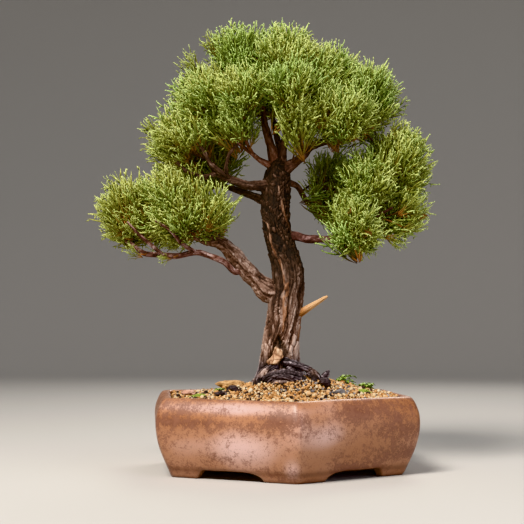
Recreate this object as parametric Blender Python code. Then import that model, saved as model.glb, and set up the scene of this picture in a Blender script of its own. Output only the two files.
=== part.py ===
"""A juniper bonsai in a six-sided stoneware pot: named solids in metres, +Z up.

The pot stands on its six feet at Z = 0 and everything is laid out around the pot's axis, with the viewer's side
at -Y. At the end the parent empty moves sideways so that the whole object's bounding box is centred on the origin.
"""
import math

import bmesh
import bpy
from mathutils import Vector, noise

GAP = 0.0003  # clearance between pieces that touch

# Pot: a regular hexagon in plan, one corner to the front. "Corner" radii run to the sharp, unrounded corners.
POT_TURN = math.radians(5.2)
POT_HEIGHT = 0.0741
FOOT_CORNER = 0.1272
CORNER_ROUNDING = 0.008
ARC_STEPS = 4
WALL = 0.0115  # measured along a corner, so 10 mm square through the flat wall
FLOOR_BOTTOM = 0.0095
FLOOR_TOP = 0.0175
# How far the wall stands outside the foot at each height: a full belly under a rounded shoulder.
BELLY = [
    (0.0, 0.0), (0.0020, 0.004), (0.0070, 0.014), (0.0120, 0.025), (0.0155, 0.036), (0.0173, 0.048),
    (0.0168, 0.057), (0.0145, 0.064), (0.0115, 0.070), (0.0090, 0.073), (0.0073, POT_HEIGHT),
]
RIM_WIDTH = 0.0070

# Cut-outs that leave a foot at each corner. Each has one long curved flank and one short steep flank.
CUT_HEIGHT = 0.0083
LONG_FLANK = (0.033, 0.020)  # distance from its corner, and length
SHORT_FLANK = (0.027, 0.005)
CUT_ARC_STEPS = 4
CUT_INSIDE = 0.016  # how far the cutter reaches inside the skirt's sharp face, and outside it
CUT_OUTSIDE = 0.014
BELOW_FLOOR = -0.002  # a cutter starts this far under the feet, so that no skin is left
SPLAY = 0.001  # a flank leans out by this much at its foot, as a mould's draft

DRAIN_RADIUS = 0.009
DRAIN_CIRCLE = 0.062
DRAINS = 3
SCREEN_SIDE = 0.030
SCREEN_THICKNESS = 0.0012
SCREEN_HOLES = 4
SCREEN_PITCH = 0.0068
SCREEN_HOLE = 0.0050
CLIP_WIRE = 0.00075  # radius
CLIP_REACH = 0.014

# Soil: a mound that crests under the trunk.
SOIL_EDGE = 0.0708
MOUND_HEIGHT = 0.020
MOUND_CENTRE = Vector((0.015, 0.0))
MOUND_SPREAD = 0.045

# Trunk stations from the buried root crown to the fork: centre and radius.
TRUNK = [
    (0.000, 0.000, 0.072, 0.0270), (-0.001, 0.000, 0.082, 0.0245), (-0.002, 0.000, 0.092, 0.0220),
    (-0.002, 0.000, 0.100, 0.0200), (-0.002, 0.000, 0.109, 0.0185), (-0.001, -0.001, 0.127, 0.0172),
    (0.002, -0.002, 0.147, 0.0165), (0.004, -0.003, 0.164, 0.0165), (0.007, -0.003, 0.183, 0.0158),
    (0.006, -0.002, 0.203, 0.0155), (-0.001, 0.000, 0.227, 0.0137), (-0.005, 0.000, 0.248, 0.0135),
    (-0.005, 0.000, 0.274, 0.0140), (-0.004, 0.000, 0.290, 0.0130), (-0.003, 0.000, 0.303, 0.0095),
]
TRUNK_SIDES = 20
# Root flares: compass angle from +X, reach beyond the trunk at soil level, half-width in radians.
ROOTS = [(0.0, 0.024, 0.26), (0.85, 0.010, 0.30), (1.75, 0.014, 0.30), (2.55, 0.012, 0.30),
         (3.35, 0.011, 0.26), (4.20, 0.010, 0.30), (4.90, 0.014, 0.34), (5.55, 0.011, 0.26)]
ROOT_TOP = 0.116
ROOT_FULL = 0.086

# Branch routes, each a list of (x, y, z, radius). Each starts inside the piece it grows from.
BRANCHES = {
    "branch_lower_left": [
        (0.003, -0.002, 0.170, 0.0090), (-0.0125, -0.003, 0.1757, 0.0090), (-0.0254, -0.005, 0.1867, 0.0086),
        (-0.0393, -0.008, 0.2015, 0.0082), (-0.0492, -0.010, 0.2133, 0.0074),
        (-0.0601, -0.012, 0.2231, 0.0062),
        (-0.0740, -0.012, 0.2261, 0.0052), (-0.0880, -0.012, 0.2310, 0.0040),
    ],
    "branch_lower_left_under": [
        (-0.0380, -0.007, 0.1990, 0.0030), (-0.0462, -0.013, 0.1944, 0.0030),
        (-0.0570, -0.018, 0.2041, 0.0029),
        (-0.0706, -0.022, 0.2097, 0.0028), (-0.0842, -0.025, 0.2130, 0.0028),
        (-0.1028, -0.025, 0.2095, 0.0028),
        (-0.1168, -0.022, 0.2107, 0.0026), (-0.1349, -0.018, 0.2123, 0.0024),
        (-0.1462, -0.014, 0.2200, 0.0020),
        (-0.1600, -0.008, 0.2300, 0.0015),
    ],
    "branch_lower_left_back": [
        (-0.0601, -0.012, 0.2231, 0.0034), (-0.0720, 0.010, 0.2280, 0.0034),
        (-0.0900, 0.032, 0.2310, 0.0028),
        (-0.1120, 0.046, 0.2330, 0.0020),
    ],
    "branch_mid_left": [
        (0.000, 0.000, 0.2800, 0.0060), (-0.0224, -0.005, 0.2807, 0.0052), (-0.0364, -0.010, 0.2812, 0.0044),
        (-0.0493, -0.012, 0.2859, 0.0036), (-0.0582, -0.012, 0.2889, 0.0033),
        (-0.0662, -0.012, 0.2949, 0.0029),
        (-0.0745, -0.010, 0.3080, 0.0022),
    ],
    "branch_back_left": [
        (-0.004, 0.000, 0.2600, 0.0048), (-0.0200, 0.024, 0.2700, 0.0044), (-0.0420, 0.038, 0.2800, 0.0036),
        (-0.0660, 0.046, 0.2880, 0.0028), (-0.0860, 0.048, 0.2930, 0.0020),
    ],
    "branch_inner_left": [
        (-0.0040, 0.000, 0.2985, 0.0032), (-0.0200, -0.004, 0.3060, 0.0026),
        (-0.0280, -0.011, 0.3115, 0.0020),
    ],
    "leader_left": [
        (-0.0050, 0.000, 0.2920, 0.0052), (-0.0090, 0.000, 0.3156, 0.0046), (-0.0114, 0.002, 0.3250, 0.0042),
        (-0.0144, 0.004, 0.3355, 0.0038), (-0.0174, 0.006, 0.3490, 0.0034), (-0.0184, 0.008, 0.3680, 0.0026),
    ],
    "branch_upper_left": [
        (-0.0184, 0.008, 0.3640, 0.0022), (-0.0310, 0.004, 0.3730, 0.0020), (-0.0430, 0.000, 0.3770, 0.0018),
        (-0.0500, -0.003, 0.3830, 0.0013),
    ],
    "leader_middle": [
        (0.0000, 0.000, 0.2930, 0.0048), (0.0010, -0.001, 0.3174, 0.0042), (0.0046, -0.004, 0.3300, 0.0037),
        (0.0060, -0.006, 0.3480, 0.0031), (0.0050, -0.008, 0.3680, 0.0024),
    ],
    "leader_back": [
        (-0.0010, 0.004, 0.2900, 0.0042), (0.0020, 0.020, 0.3060, 0.0038), (-0.0020, 0.038, 0.3280, 0.0032),
        (-0.0070, 0.052, 0.3520, 0.0026), (-0.0090, 0.058, 0.3680, 0.0020),
    ],
    "branch_upper_right": [
        (-0.001, 0.000, 0.2960, 0.0044), (0.0120, -0.004, 0.3035, 0.0042), (0.0214, -0.010, 0.3102, 0.0040),
        (0.0283, -0.014, 0.3187, 0.0038), (0.0420, -0.018, 0.3231, 0.0034), (0.0508, -0.020, 0.3248, 0.0031),
        (0.0675, -0.022, 0.3285, 0.0026), (0.0804, -0.022, 0.3360, 0.0020),
    ],
    "branch_right": [
        (0.0000, 0.000, 0.2310, 0.0036), (0.0135, -0.004, 0.2307, 0.0036), (0.0254, -0.008, 0.2274, 0.0037),
        (0.0371, -0.012, 0.2271, 0.0036), (0.0498, -0.016, 0.2259, 0.0034), (0.0576, -0.018, 0.2257, 0.0035),
        (0.0723, -0.020, 0.2305, 0.0032), (0.0841, -0.020, 0.2404, 0.0028), (0.0885, -0.019, 0.2520, 0.0022),
    ],
    "branch_right_side": [
        (0.0860, -0.020, 0.2440, 0.0020), (0.0980, -0.014, 0.2600, 0.0018), (0.1090, -0.010, 0.2680, 0.0013),
    ],
    "branch_back_right": [
        (0.0000, 0.002, 0.2860, 0.0030), (0.0156, 0.014, 0.2830, 0.0029), (0.0250, 0.022, 0.2700, 0.0028),
        (0.0420, 0.034, 0.2520, 0.0026), (0.0620, 0.046, 0.2400, 0.0023), (0.0880, 0.052, 0.2400, 0.0018),
    ],
}
# A branch that springs from another branch, and not from the trunk.
PARENT_BRANCH = {
    "branch_lower_left_under": "branch_lower_left", "branch_lower_left_back": "branch_lower_left",
    "branch_upper_left": "leader_left", "branch_right_side": "branch_right",
}
# Two branches that leave the trunk side by side: the first is cut back from the second.
NEIGHBOUR_BRANCH = {
    "leader_middle": ("leader_left",), "branch_inner_left": ("leader_left",),
    "leader_back": ("leader_left", "leader_middle"), "branch_upper_right": ("leader_middle", "leader_back"),
    "branch_back_right": ("leader_back",),
}
JIN = [(0.006, -0.004, 0.1460, 0.0042), (0.0230, -0.008, 0.1560, 0.0036), (0.0340, -0.011, 0.1632, 0.0026),
       (0.0448, -0.014, 0.1700, 0.0010)]

# Foliage clumps: centre and half-sizes of the bunch of shoots that each branch end carries.
FOLIAGE = {
    "foliage_crown_top_left": ((-0.039, 0.008, 0.409), (0.040, 0.042, 0.038)),
    "foliage_crown_top": ((0.004, -0.014, 0.406), (0.042, 0.044, 0.038)),
    "foliage_crown_upper_right": ((0.051, 0.002, 0.389), (0.042, 0.046, 0.037)),
    "foliage_crown_right_end": ((0.088, -0.004, 0.373), (0.030, 0.038, 0.037)),
    "foliage_crown_front": ((0.009, -0.056, 0.366), (0.042, 0.030, 0.031)),
    "foliage_crown_front_right": ((0.057, -0.044, 0.352), (0.037, 0.032, 0.024)),
    "foliage_crown_front_left": ((-0.033, -0.044, 0.368), (0.031, 0.028, 0.027)),
    "foliage_crown_back": ((-0.011, 0.062, 0.409), (0.055, 0.038, 0.038)),
    "foliage_crown_back_right": ((0.058, 0.058, 0.387), (0.048, 0.034, 0.036)),
    "foliage_inner_spray": ((0.016, -0.036, 0.333), (0.018, 0.014, 0.020)),
    "foliage_upper_left": ((-0.081, -0.008, 0.369), (0.033, 0.042, 0.034)),
    "foliage_upper_left_back": ((-0.072, 0.052, 0.376), (0.035, 0.032, 0.033)),
    "foliage_mid_left_outer": ((-0.103, -0.008, 0.327), (0.033, 0.042, 0.034)),
    "foliage_mid_left_inner": ((-0.050, -0.022, 0.328), (0.030, 0.036, 0.031)),
    "foliage_mid_left_back": ((-0.084, 0.048, 0.324), (0.044, 0.030, 0.029)),
    "foliage_lower_left_outer": ((-0.152, -0.004, 0.255), (0.032, 0.042, 0.037)),
    "foliage_lower_left_middle": ((-0.108, -0.022, 0.258), (0.036, 0.040, 0.039)),
    "foliage_lower_left_inner": ((-0.071, -0.006, 0.255), (0.023, 0.030, 0.025)),
    "foliage_lower_left_back": ((-0.126, 0.048, 0.264), (0.044, 0.030, 0.033)),
    "foliage_right_upper": ((0.122, -0.004, 0.303), (0.031, 0.040, 0.038)),
    "foliage_right_middle": ((0.083, -0.022, 0.281), (0.032, 0.038, 0.037)),
    "foliage_right_low": ((0.072, -0.050, 0.236), (0.031, 0.028, 0.028)),
    "foliage_right_outer_low": ((0.123, -0.016, 0.250), (0.022, 0.030, 0.024)),
    "foliage_right_inner_back": ((0.054, 0.024, 0.282), (0.030, 0.030, 0.040)),
    "foliage_right_back": ((0.108, 0.050, 0.285), (0.037, 0.030, 0.040)),
}
CLUMP_ROUND = (12, 8)  # segments round and from pole to pole
TUFTS = 0.10  # how far tufts stand out, as a part of the half-size
FOLIAGE_GAP = 0.001

# Small things on the soil: centre, half-sizes, height and turn.
ON_SOIL = {
    "tan_flat_stone": ((-0.0506, 0.010), (0.0165, 0.0105), 0.0062, 0.1),
    "pink_pebble": ((-0.0910, -0.022), (0.0080, 0.0060), 0.0060, 0.4),
    "grey_flat_stone": ((0.0535, -0.062), (0.0065, 0.0048), 0.0040, 0.2),
    "dark_stone_left": ((-0.0596, -0.052), (0.0060, 0.0050), 0.0050, 0.9),
    "dark_stone_front": ((-0.0480, -0.034), (0.0062, 0.0052), 0.0060, 0.3),
    "dark_stone_right": ((0.0400, -0.040), (0.0080, 0.0060), 0.0070, 0.6),
    "moss_left": ((-0.0800, -0.042), (0.0100, 0.0070), 0.0025, 0.2),
    "moss_right": ((0.0800, -0.036), (0.0070, 0.0050), 0.0025, 0.5),
    "weed_seedling_left": ((-0.0600, -0.018), (0.0045, 0.0040), 0.0050, 0.0),
    "weed_seedling_middle": ((0.0650, 0.018), (0.0105, 0.0080), 0.0120, 0.3),
    "weed_seedling_right": ((0.0850, 0.010), (0.0080, 0.0070), 0.0100, 0.0),
}

# Colours, roughness and metallic of each substance.
FINISHES = {
    "stoneware": ((0.44, 0.26, 0.17), 0.38, 0.0), "screen": ((0.03, 0.03, 0.03), 0.6, 0.0),
    "aluminium_wire": ((0.60, 0.58, 0.55), 0.35, 1.0), "soil": ((0.42, 0.27, 0.12), 0.95, 0.0),
    "bark": ((0.12, 0.06, 0.035), 0.85, 0.0), "dead_wood": ((0.45, 0.23, 0.09), 0.75, 0.0),
    "foliage": ((0.22, 0.30, 0.06), 0.6, 0.0), "tan_stone": ((0.40, 0.26, 0.13), 0.8, 0.0),
    "pink_stone": ((0.50, 0.32, 0.24), 0.75, 0.0), "grey_stone": ((0.13, 0.12, 0.13), 0.8, 0.0),
    "lava_stone": ((0.035, 0.025, 0.025), 0.9, 0.0), "moss": ((0.12, 0.24, 0.03), 0.9, 0.0),
    "weed": ((0.20, 0.38, 0.04), 0.5, 0.0),
}
SOIL_PIECE_FINISH = {
    "tan": "tan_stone", "pink": "pink_stone", "grey": "grey_stone", "dark": "lava_stone", "moss": "moss",
    "weed": "weed",
}


def material(name):
    """The Principled material of one substance, made once."""
    if name in bpy.data.materials:
        return bpy.data.materials[name]
    colour, roughness, metallic = FINISHES[name]
    made = bpy.data.materials.new(name)
    made.use_nodes = True
    shader = made.node_tree.nodes["Principled BSDF"]
    shader.inputs["Base Color"].default_value = (*colour, 1.0)
    shader.inputs["Roughness"].default_value = roughness
    shader.inputs["Metallic"].default_value = metallic
    return made


def add_object(name, mesh, finish, parent):
    """Turns a bmesh into an object with outward faces and smooth shading up to 40 degree edges."""
    bmesh.ops.recalc_face_normals(mesh, faces=mesh.faces)
    data = bpy.data.meshes.new(name)
    mesh.to_mesh(data)
    mesh.free()
    made = bpy.data.objects.new(name, data)
    bpy.context.collection.objects.link(made)
    data.materials.append(material(finish))
    data.shade_smooth()
    data.set_sharp_from_angle(angle=math.radians(40))
    made.parent = parent
    return made


def add_cutter(name, mesh, parent):
    """A shape that only cuts others: never rendered, drawn as wire."""
    made = add_object(name, mesh, "bark", parent)
    made.hide_render = True
    made.display_type = "WIRE"
    return made


def cut(target, cutter):
    boolean = target.modifiers.new("cut_" + cutter.name, "BOOLEAN")
    boolean.operation = "DIFFERENCE"
    boolean.object = cutter


def loft(rings):
    """A closed skin through rings of equal length, with flat ends."""
    mesh = bmesh.new()
    rows = [[mesh.verts.new(point) for point in ring] for ring in rings]
    for lower, upper in zip(rows, rows[1:]):
        for i in range(len(lower)):
            j = (i + 1) % len(lower)
            mesh.faces.new((lower[i], lower[j], upper[j], upper[i]))
    mesh.faces.new(rows[0])
    mesh.faces.new(rows[-1])
    return mesh


def hexagon(corner, height):
    """A level six-sided ring with rounded corners. height is a number or a function of (x, y)."""
    rounding = min(CORNER_ROUNDING, corner * 0.45)
    centre = corner - rounding / math.cos(math.pi / 6)
    ring = []
    for side in range(6):
        heading = POT_TURN + side * math.pi / 3
        for step in range(ARC_STEPS + 1):
            bend = heading + math.radians(-30 + 60 * step / ARC_STEPS)
            x = centre * math.sin(heading) + rounding * math.sin(bend)
            y = -centre * math.cos(heading) - rounding * math.cos(bend)
            ring.append(Vector((x, y, height(x, y) if callable(height) else height)))
    return ring


def inner_corner(height):
    """Corner radius of the inside of the wall at this height, following the belly."""
    for (low_out, low), (high_out, high) in zip(BELLY, BELLY[1:]):
        if height <= high:
            part = (height - low) / (high - low)
            return FOOT_CORNER - WALL + low_out + part * (high_out - low_out)
    return FOOT_CORNER - WALL + BELLY[-1][0]


INNER_HEIGHTS = (0.066, 0.057, 0.048, 0.036, 0.025)
FLOOR_CORNER = inner_corner(0.025) - 0.006


def make_pot(parent):
    rings = [hexagon(FOOT_CORNER - WALL, FLOOR_BOTTOM), hexagon(FOOT_CORNER - WALL, 0.0)]
    rings += [hexagon(FOOT_CORNER + out, height) for out, height in BELLY]
    rim = FOOT_CORNER + BELLY[-1][0] - RIM_WIDTH
    rings += [hexagon(rim, POT_HEIGHT), hexagon(rim - 0.0012, POT_HEIGHT - 0.0012)]
    rings += [hexagon(inner_corner(height), height) for height in INNER_HEIGHTS]
    rings += [hexagon(FLOOR_CORNER, FLOOR_TOP)]
    pot = add_object("pot", loft(rings), "stoneware", parent)
    for side in range(6):
        cut(pot, make_foot_cutter(side, parent))
    for index in range(DRAINS):
        cut(pot, make_drain_cutter(index, parent))
    return pot


def make_foot_cutter(side, parent):
    """The arched opening in one face of the skirt; long and short flanks swap from face to face."""
    half = FOOT_CORNER / 2
    outline = [(LONG_FLANK[0] - half - SPLAY, BELOW_FLOOR)]
    for step in range(CUT_ARC_STEPS + 1):
        turn = math.pi / 2 * (1 - step / CUT_ARC_STEPS)
        outline.append((LONG_FLANK[0] + LONG_FLANK[1] * (1 - math.sin(turn)) - half, CUT_HEIGHT * math.cos(turn)))
    outline.append((half - SHORT_FLANK[0] - SHORT_FLANK[1], CUT_HEIGHT))
    outline.append((half - SHORT_FLANK[0], SPLAY))
    outline.append((half - SHORT_FLANK[0], BELOW_FLOOR))
    mirror = 1 if side % 2 == 0 else -1
    heading = POT_TURN + math.radians(30 + 60 * side)
    outward = Vector((math.sin(heading), -math.cos(heading), 0))
    along = Vector((math.cos(heading), math.sin(heading), 0)) * mirror
    skirt = FOOT_CORNER * math.cos(math.pi / 6)
    near, far = skirt - CUT_INSIDE, skirt + CUT_OUTSIDE
    rings = [[outward * reach + along * s + Vector((0, 0, z)) for s, z in outline] for reach in (near, far)]
    return add_cutter(f"foot_cut_{side + 1}", loft(rings), parent)


def drain_centre(index):
    heading = POT_TURN + math.radians(30 + 120 * index)
    return Vector((DRAIN_CIRCLE * math.sin(heading), -DRAIN_CIRCLE * math.cos(heading), 0))


def make_drain_cutter(index, parent):
    mesh = bmesh.new()
    bmesh.ops.create_cone(
        mesh, cap_ends=True, segments=20, radius1=DRAIN_RADIUS, radius2=DRAIN_RADIUS, depth=0.03
    )
    bmesh.ops.translate(mesh, verts=mesh.verts, vec=drain_centre(index) + Vector((0, 0, FLOOR_TOP)))
    return add_cutter(f"drain_cut_{index + 1}", mesh, parent)


def make_screen(index, parent):
    """A square of moulded plastic mesh over a drainage hole, built as a plate pierced by a grid of openings."""
    bars = SCREEN_HOLES + 1
    first = -SCREEN_PITCH * (SCREEN_HOLES - 1) / 2
    edges = [-SCREEN_SIDE / 2]
    for hole in range(SCREEN_HOLES):
        middle = first + hole * SCREEN_PITCH
        edges += [middle - SCREEN_HOLE / 2, middle + SCREEN_HOLE / 2]
    edges.append(SCREEN_SIDE / 2)
    mesh = bmesh.new()
    side = len(edges)
    base = drain_centre(index) + Vector((0, 0, FLOOR_TOP + GAP))
    layers = [
        [mesh.verts.new(base + Vector((x, y, z))) for y in edges for x in edges] for z in (0, SCREEN_THICKNESS)
    ]

    def solid(column, row):
        inside = 0 <= column < 2 * bars - 1 and 0 <= row < 2 * bars - 1
        return inside and not (column % 2 == 1 and row % 2 == 1)

    def corner(layer, column, row):
        return layers[layer][row * side + column]

    for row in range(side - 1):
        for column in range(side - 1):
            if not solid(column, row):
                continue
            for layer in (0, 1):
                mesh.faces.new([corner(layer, column + i, row + j) for i, j in ((0, 0), (1, 0), (1, 1), (0, 1))])
            for step, ends in (
                ((-1, 0), ((0, 0), (0, 1))), ((1, 0), ((1, 1), (1, 0))),
                ((0, -1), ((1, 0), (0, 0))), ((0, 1), ((0, 1), (1, 1))),
            ):
                if not solid(column + step[0], row + step[1]):
                    (a, b), (c, d) = ends
                    low = corner(0, column + a, row + b), corner(0, column + c, row + d)
                    high = corner(1, column + c, row + d), corner(1, column + a, row + b)
                    mesh.faces.new((*low, *high))
    return add_object(f"drainage_screen_{index + 1}", mesh, "screen", parent)


def smooth_route(stations, steps):
    """Catmull-Rom points through (x, y, z, radius) stations."""
    ends = [stations[0], *stations, stations[-1]]
    route = []
    for before, start, end, after in zip(ends, ends[1:], ends[2:], ends[3:]):
        for step in range(steps):
            t = step / steps
            route.append([
                0.5 * (2 * b + (c - a) * t + (2 * a - 5 * b + 4 * c - d) * t**2 + (3 * b - a - 3 * c + d) * t**3)
                for a, b, c, d in zip(before, start, end, after)
            ])
    route.append(stations[-1])
    return [(Vector(row[:3]), row[3]) for row in route]


def tube(stations, sides, steps=2, growth=0.0):
    """A tapering tube of round section, with rings square to the route."""
    route = smooth_route(stations, steps)
    rings = []
    across = None
    for i, (centre, radius) in enumerate(route):
        ahead = route[min(i + 1, len(route) - 1)][0] - route[max(i - 1, 0)][0]
        ahead.normalize()
        if across is None:
            across = ahead.orthogonal().normalized()
        across = (across - ahead * across.dot(ahead)).normalized()
        other = ahead.cross(across)
        reach = radius + growth
        shift = ahead * growth * (-1 if i == 0 else 1 if i == len(route) - 1 else 0)
        rings.append([
            centre + shift + (across * math.cos(turn) + other * math.sin(turn)) * reach
            for turn in (2 * math.pi * k / sides for k in range(sides))
        ])
    return loft(rings)


def make_clip(index, parent):
    """Wire staple: over the screen, down through the drainage hole and bent out under the floor."""
    leg, offset = SCREEN_PITCH / 2, SCREEN_PITCH / 2
    low = FLOOR_BOTTOM - GAP * 1.5 - CLIP_WIRE
    high = FLOOR_TOP + GAP + SCREEN_THICKNESS + GAP * 1.5 + CLIP_WIRE
    side = [(CLIP_REACH, low), (leg + 0.0015, low), (leg, low + 0.0015), (leg, high - 0.0012), (leg - 0.0012, high)]
    route = side + [(-x, z) for x, z in reversed(side)]
    centre = drain_centre(index)
    stations = [(centre.x + x, centre.y + offset, z, CLIP_WIRE) for x, z in route]
    return add_object(f"screen_clip_{index + 1}", tube(stations, 6, steps=1), "aluminium_wire", parent)


def soil_height(x, y):
    away = (Vector((x, y)) - MOUND_CENTRE).length
    return SOIL_EDGE + MOUND_HEIGHT * math.exp(-(away**2) / (2 * MOUND_SPREAD**2))


def make_soil(parent, trunk_clearance):
    """The filling of the pot: its sides follow the wall, its top is the mound."""
    clear = 2 * GAP
    rings = [hexagon(FLOOR_CORNER - clear, FLOOR_TOP + GAP)]
    rings += [hexagon(inner_corner(height) - clear, height) for height in reversed(INNER_HEIGHTS)]
    edge = inner_corner(SOIL_EDGE) - clear
    rings.append(hexagon(edge, SOIL_EDGE - 0.001))
    rings += [hexagon(edge * part, soil_height) for part in (0.97, 0.85, 0.72, 0.59, 0.46, 0.34, 0.22, 0.10)]
    soil = add_object("soil", loft(rings), "soil", parent)
    cut(soil, trunk_clearance)
    pocket = SCREEN_SIDE + 4 * GAP
    for index in range(DRAINS):
        mesh = bmesh.new()
        bmesh.ops.create_cube(mesh, size=1.0)
        bmesh.ops.scale(mesh, verts=mesh.verts, vec=(pocket, pocket, 0.008))
        bmesh.ops.translate(mesh, verts=mesh.verts, vec=drain_centre(index) + Vector((0, 0, FLOOR_TOP)))
        cut(soil, add_cutter(f"screen_pocket_{index + 1}", mesh, parent))
    return soil


def trunk_mesh(growth=0.0):
    """The trunk: a fluted, leaning column that flares into surface roots where it meets the soil."""
    rings = []
    for centre, radius in smooth_route(TRUNK, 2):
        flare = min(max((ROOT_TOP - centre.z) / (ROOT_TOP - ROOT_FULL), 0.0), 1.0)
        ring = []
        for k in range(TRUNK_SIDES):
            turn = 2 * math.pi * k / TRUNK_SIDES
            flute = 1 + 0.05 * math.sin(3 * turn + 22 * centre.z) + 0.03 * math.sin(5 * turn - 31 * centre.z)
            reach = radius * flute
            for heading, length, width in ROOTS:
                apart = math.remainder(turn - heading, 2 * math.pi)
                reach += length * flare**1.6 * math.exp(-((apart / width) ** 2))
            reach += growth
            ring.append(centre + Vector((math.cos(turn) * reach, math.sin(turn) * reach, 0)))
        rings.append(ring)
    for ring, way in ((rings[0], -1), (rings[-1], 1)):
        for point in ring:
            point.z += way * growth
    return loft(rings)


def make_wood(parent):
    """Trunk, branches and the dead stub. Each branch is cut back from what it springs from."""
    add_object("trunk", trunk_mesh(), "bark", parent)
    trunk_clearance = add_cutter("trunk_clearance", trunk_mesh(2 * GAP), parent)
    branches, clearances = {}, {}
    for name, stations in BRANCHES.items():
        branches[name] = add_object(name, tube(stations, 7), "bark", parent)
        clearances[name] = add_cutter(name + "_clearance", tube(stations, 7, growth=2 * GAP), parent)
    for name, branch in branches.items():
        if name in PARENT_BRANCH:
            cut(branch, clearances[PARENT_BRANCH[name]])
        else:
            cut(branch, trunk_clearance)
        for other in NEIGHBOUR_BRANCH.get(name, ()):
            cut(branch, clearances[other])
    jin = add_object("jin_dead_stub", tube(JIN, 7), "dead_wood", parent)
    cut(jin, trunk_clearance)
    return trunk_clearance


def wood_capsules():
    """Straight pieces (start, end, radius) that cover all the wood, for keeping the foliage clear of it."""
    pieces = []
    for stations in [TRUNK, JIN, *BRANCHES.values()]:
        route = smooth_route(stations, 2)
        for (start, r_start), (end, r_end) in zip(route, route[1:]):
            pieces.append((start, end, max(r_start, r_end)))
    return pieces


def nearest_on(start, end, point):
    span = end - start
    part = min(max((point - start).dot(span) / span.length_squared, 0.0), 1.0)
    return start + span * part


def ellipsoid_reach(sizes, way):
    return 1 / math.sqrt(sum((w / s) ** 2 for w, s in zip(way, sizes)))


def facing_planes(name, centre, sizes, capsules):
    """Planes (direction, distance from the centre) that keep a clump off its neighbours and off the wood."""
    planes = []
    for other, (place, other_sizes) in FOLIAGE.items():
        if other == name:
            continue
        way = Vector(place) - centre
        apart = way.length
        way.normalize()
        mine, theirs = ellipsoid_reach(sizes, way), ellipsoid_reach(other_sizes, way)
        if apart < 1.35 * (mine + theirs):
            planes.append((way, apart * mine / (mine + theirs) - FOLIAGE_GAP / 2))
    for start, end, radius in capsules:
        way = nearest_on(start, end, centre) - centre
        apart = way.length
        if apart < 0.08:
            planes.append((way / apart, apart - radius - FOLIAGE_GAP))
    return planes


def make_clump(name, seed, capsules, parent):
    """One bunch of foliage: an ellipsoid with tufts, trimmed flat where it meets its neighbours and the wood."""
    place, sizes = FOLIAGE[name]
    centre = Vector(place)
    planes = facing_planes(name, centre, sizes, capsules)
    mesh = bmesh.new()
    bmesh.ops.create_uvsphere(mesh, u_segments=CLUMP_ROUND[0], v_segments=CLUMP_ROUND[1], radius=1.0)
    for vert in mesh.verts:
        way = vert.co.normalized()
        tuft = noise.noise(way * 2.6 + Vector((seed * 7.3, 0, 0)))
        reach = ellipsoid_reach(sizes, way) * (1 + TUFTS * tuft)
        for normal, distance in planes:
            facing = way.dot(normal)
            if facing > 1e-4:
                reach = min(reach, distance / facing)
        vert.co = centre + way * reach
    return add_object(name, mesh, "foliage", parent)


def make_on_soil(name, parent):
    """A stone, moss cushion or seedling: flat underside laid on the mound, domed top."""
    (x, y), (long_half, short_half), height, turn = ON_SOIL[name]
    sides = 12
    lift = 3 * GAP

    def ring(part, rise):
        points = []
        for k in range(sides):
            angle = 2 * math.pi * k / sides
            wobble = 1 + 0.12 * noise.noise(Vector((math.cos(angle) * 1.7, math.sin(angle) * 1.7, height * 900)))
            a, b = long_half * math.cos(angle) * part * wobble, short_half * math.sin(angle) * part * wobble
            px = x + a * math.cos(turn) - b * math.sin(turn)
            py = y + a * math.sin(turn) + b * math.cos(turn)
            points.append(Vector((px, py, soil_height(px, py) + lift + rise)))
        return points

    shape = [(0.5, 0.0), (0.9, 0.0), (1.0, 0.25 * height), (0.88, 0.70 * height), (0.5, height)]
    finish = SOIL_PIECE_FINISH[name.split("_")[0]]
    return add_object(name, loft([ring(part, rise) for part, rise in shape]), finish, parent)


def centre_over_origin(parent):
    """Moves the parent so that the box around every rendered piece is centred on the origin, feet on Z = 0."""
    bpy.context.view_layer.update()
    graph = bpy.context.evaluated_depsgraph_get()
    low, high = [math.inf] * 2, [-math.inf] * 2
    for piece in parent.children:
        if piece.hide_render:
            continue
        for corner in piece.evaluated_get(graph).bound_box:
            for axis in (0, 1):
                low[axis] = min(low[axis], corner[axis])
                high[axis] = max(high[axis], corner[axis])
    parent.location = (-(low[0] + high[0]) / 2, -(low[1] + high[1]) / 2, 0)


def main():
    for old in list(bpy.data.objects):
        bpy.data.objects.remove(old, do_unlink=True)
    bonsai = bpy.data.objects.new("bonsai", None)
    bpy.context.collection.objects.link(bonsai)
    make_pot(bonsai)
    for index in range(DRAINS):
        make_screen(index, bonsai)
        make_clip(index, bonsai)
    trunk_clearance = make_wood(bonsai)
    make_soil(bonsai, trunk_clearance)
    for name in ON_SOIL:
        make_on_soil(name, bonsai)
    capsules = wood_capsules()
    for seed, name in enumerate(FOLIAGE):
        make_clump(name, seed, capsules, bonsai)
    centre_over_origin(bonsai)


main()
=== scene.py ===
# %% [markdown]
# # A juniper bonsai in a six-sided stoneware pot
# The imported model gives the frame: where the pot stands, where the trunk and branches run and how much room
# each bunch of foliage has. This file makes what the eye sees: glazed clay, loose grit, stringy bark, bare
# dead wood and thousands of fine green shoots. Everything is in metres, +Z up, with the viewer's side at
# -Y.

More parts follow.
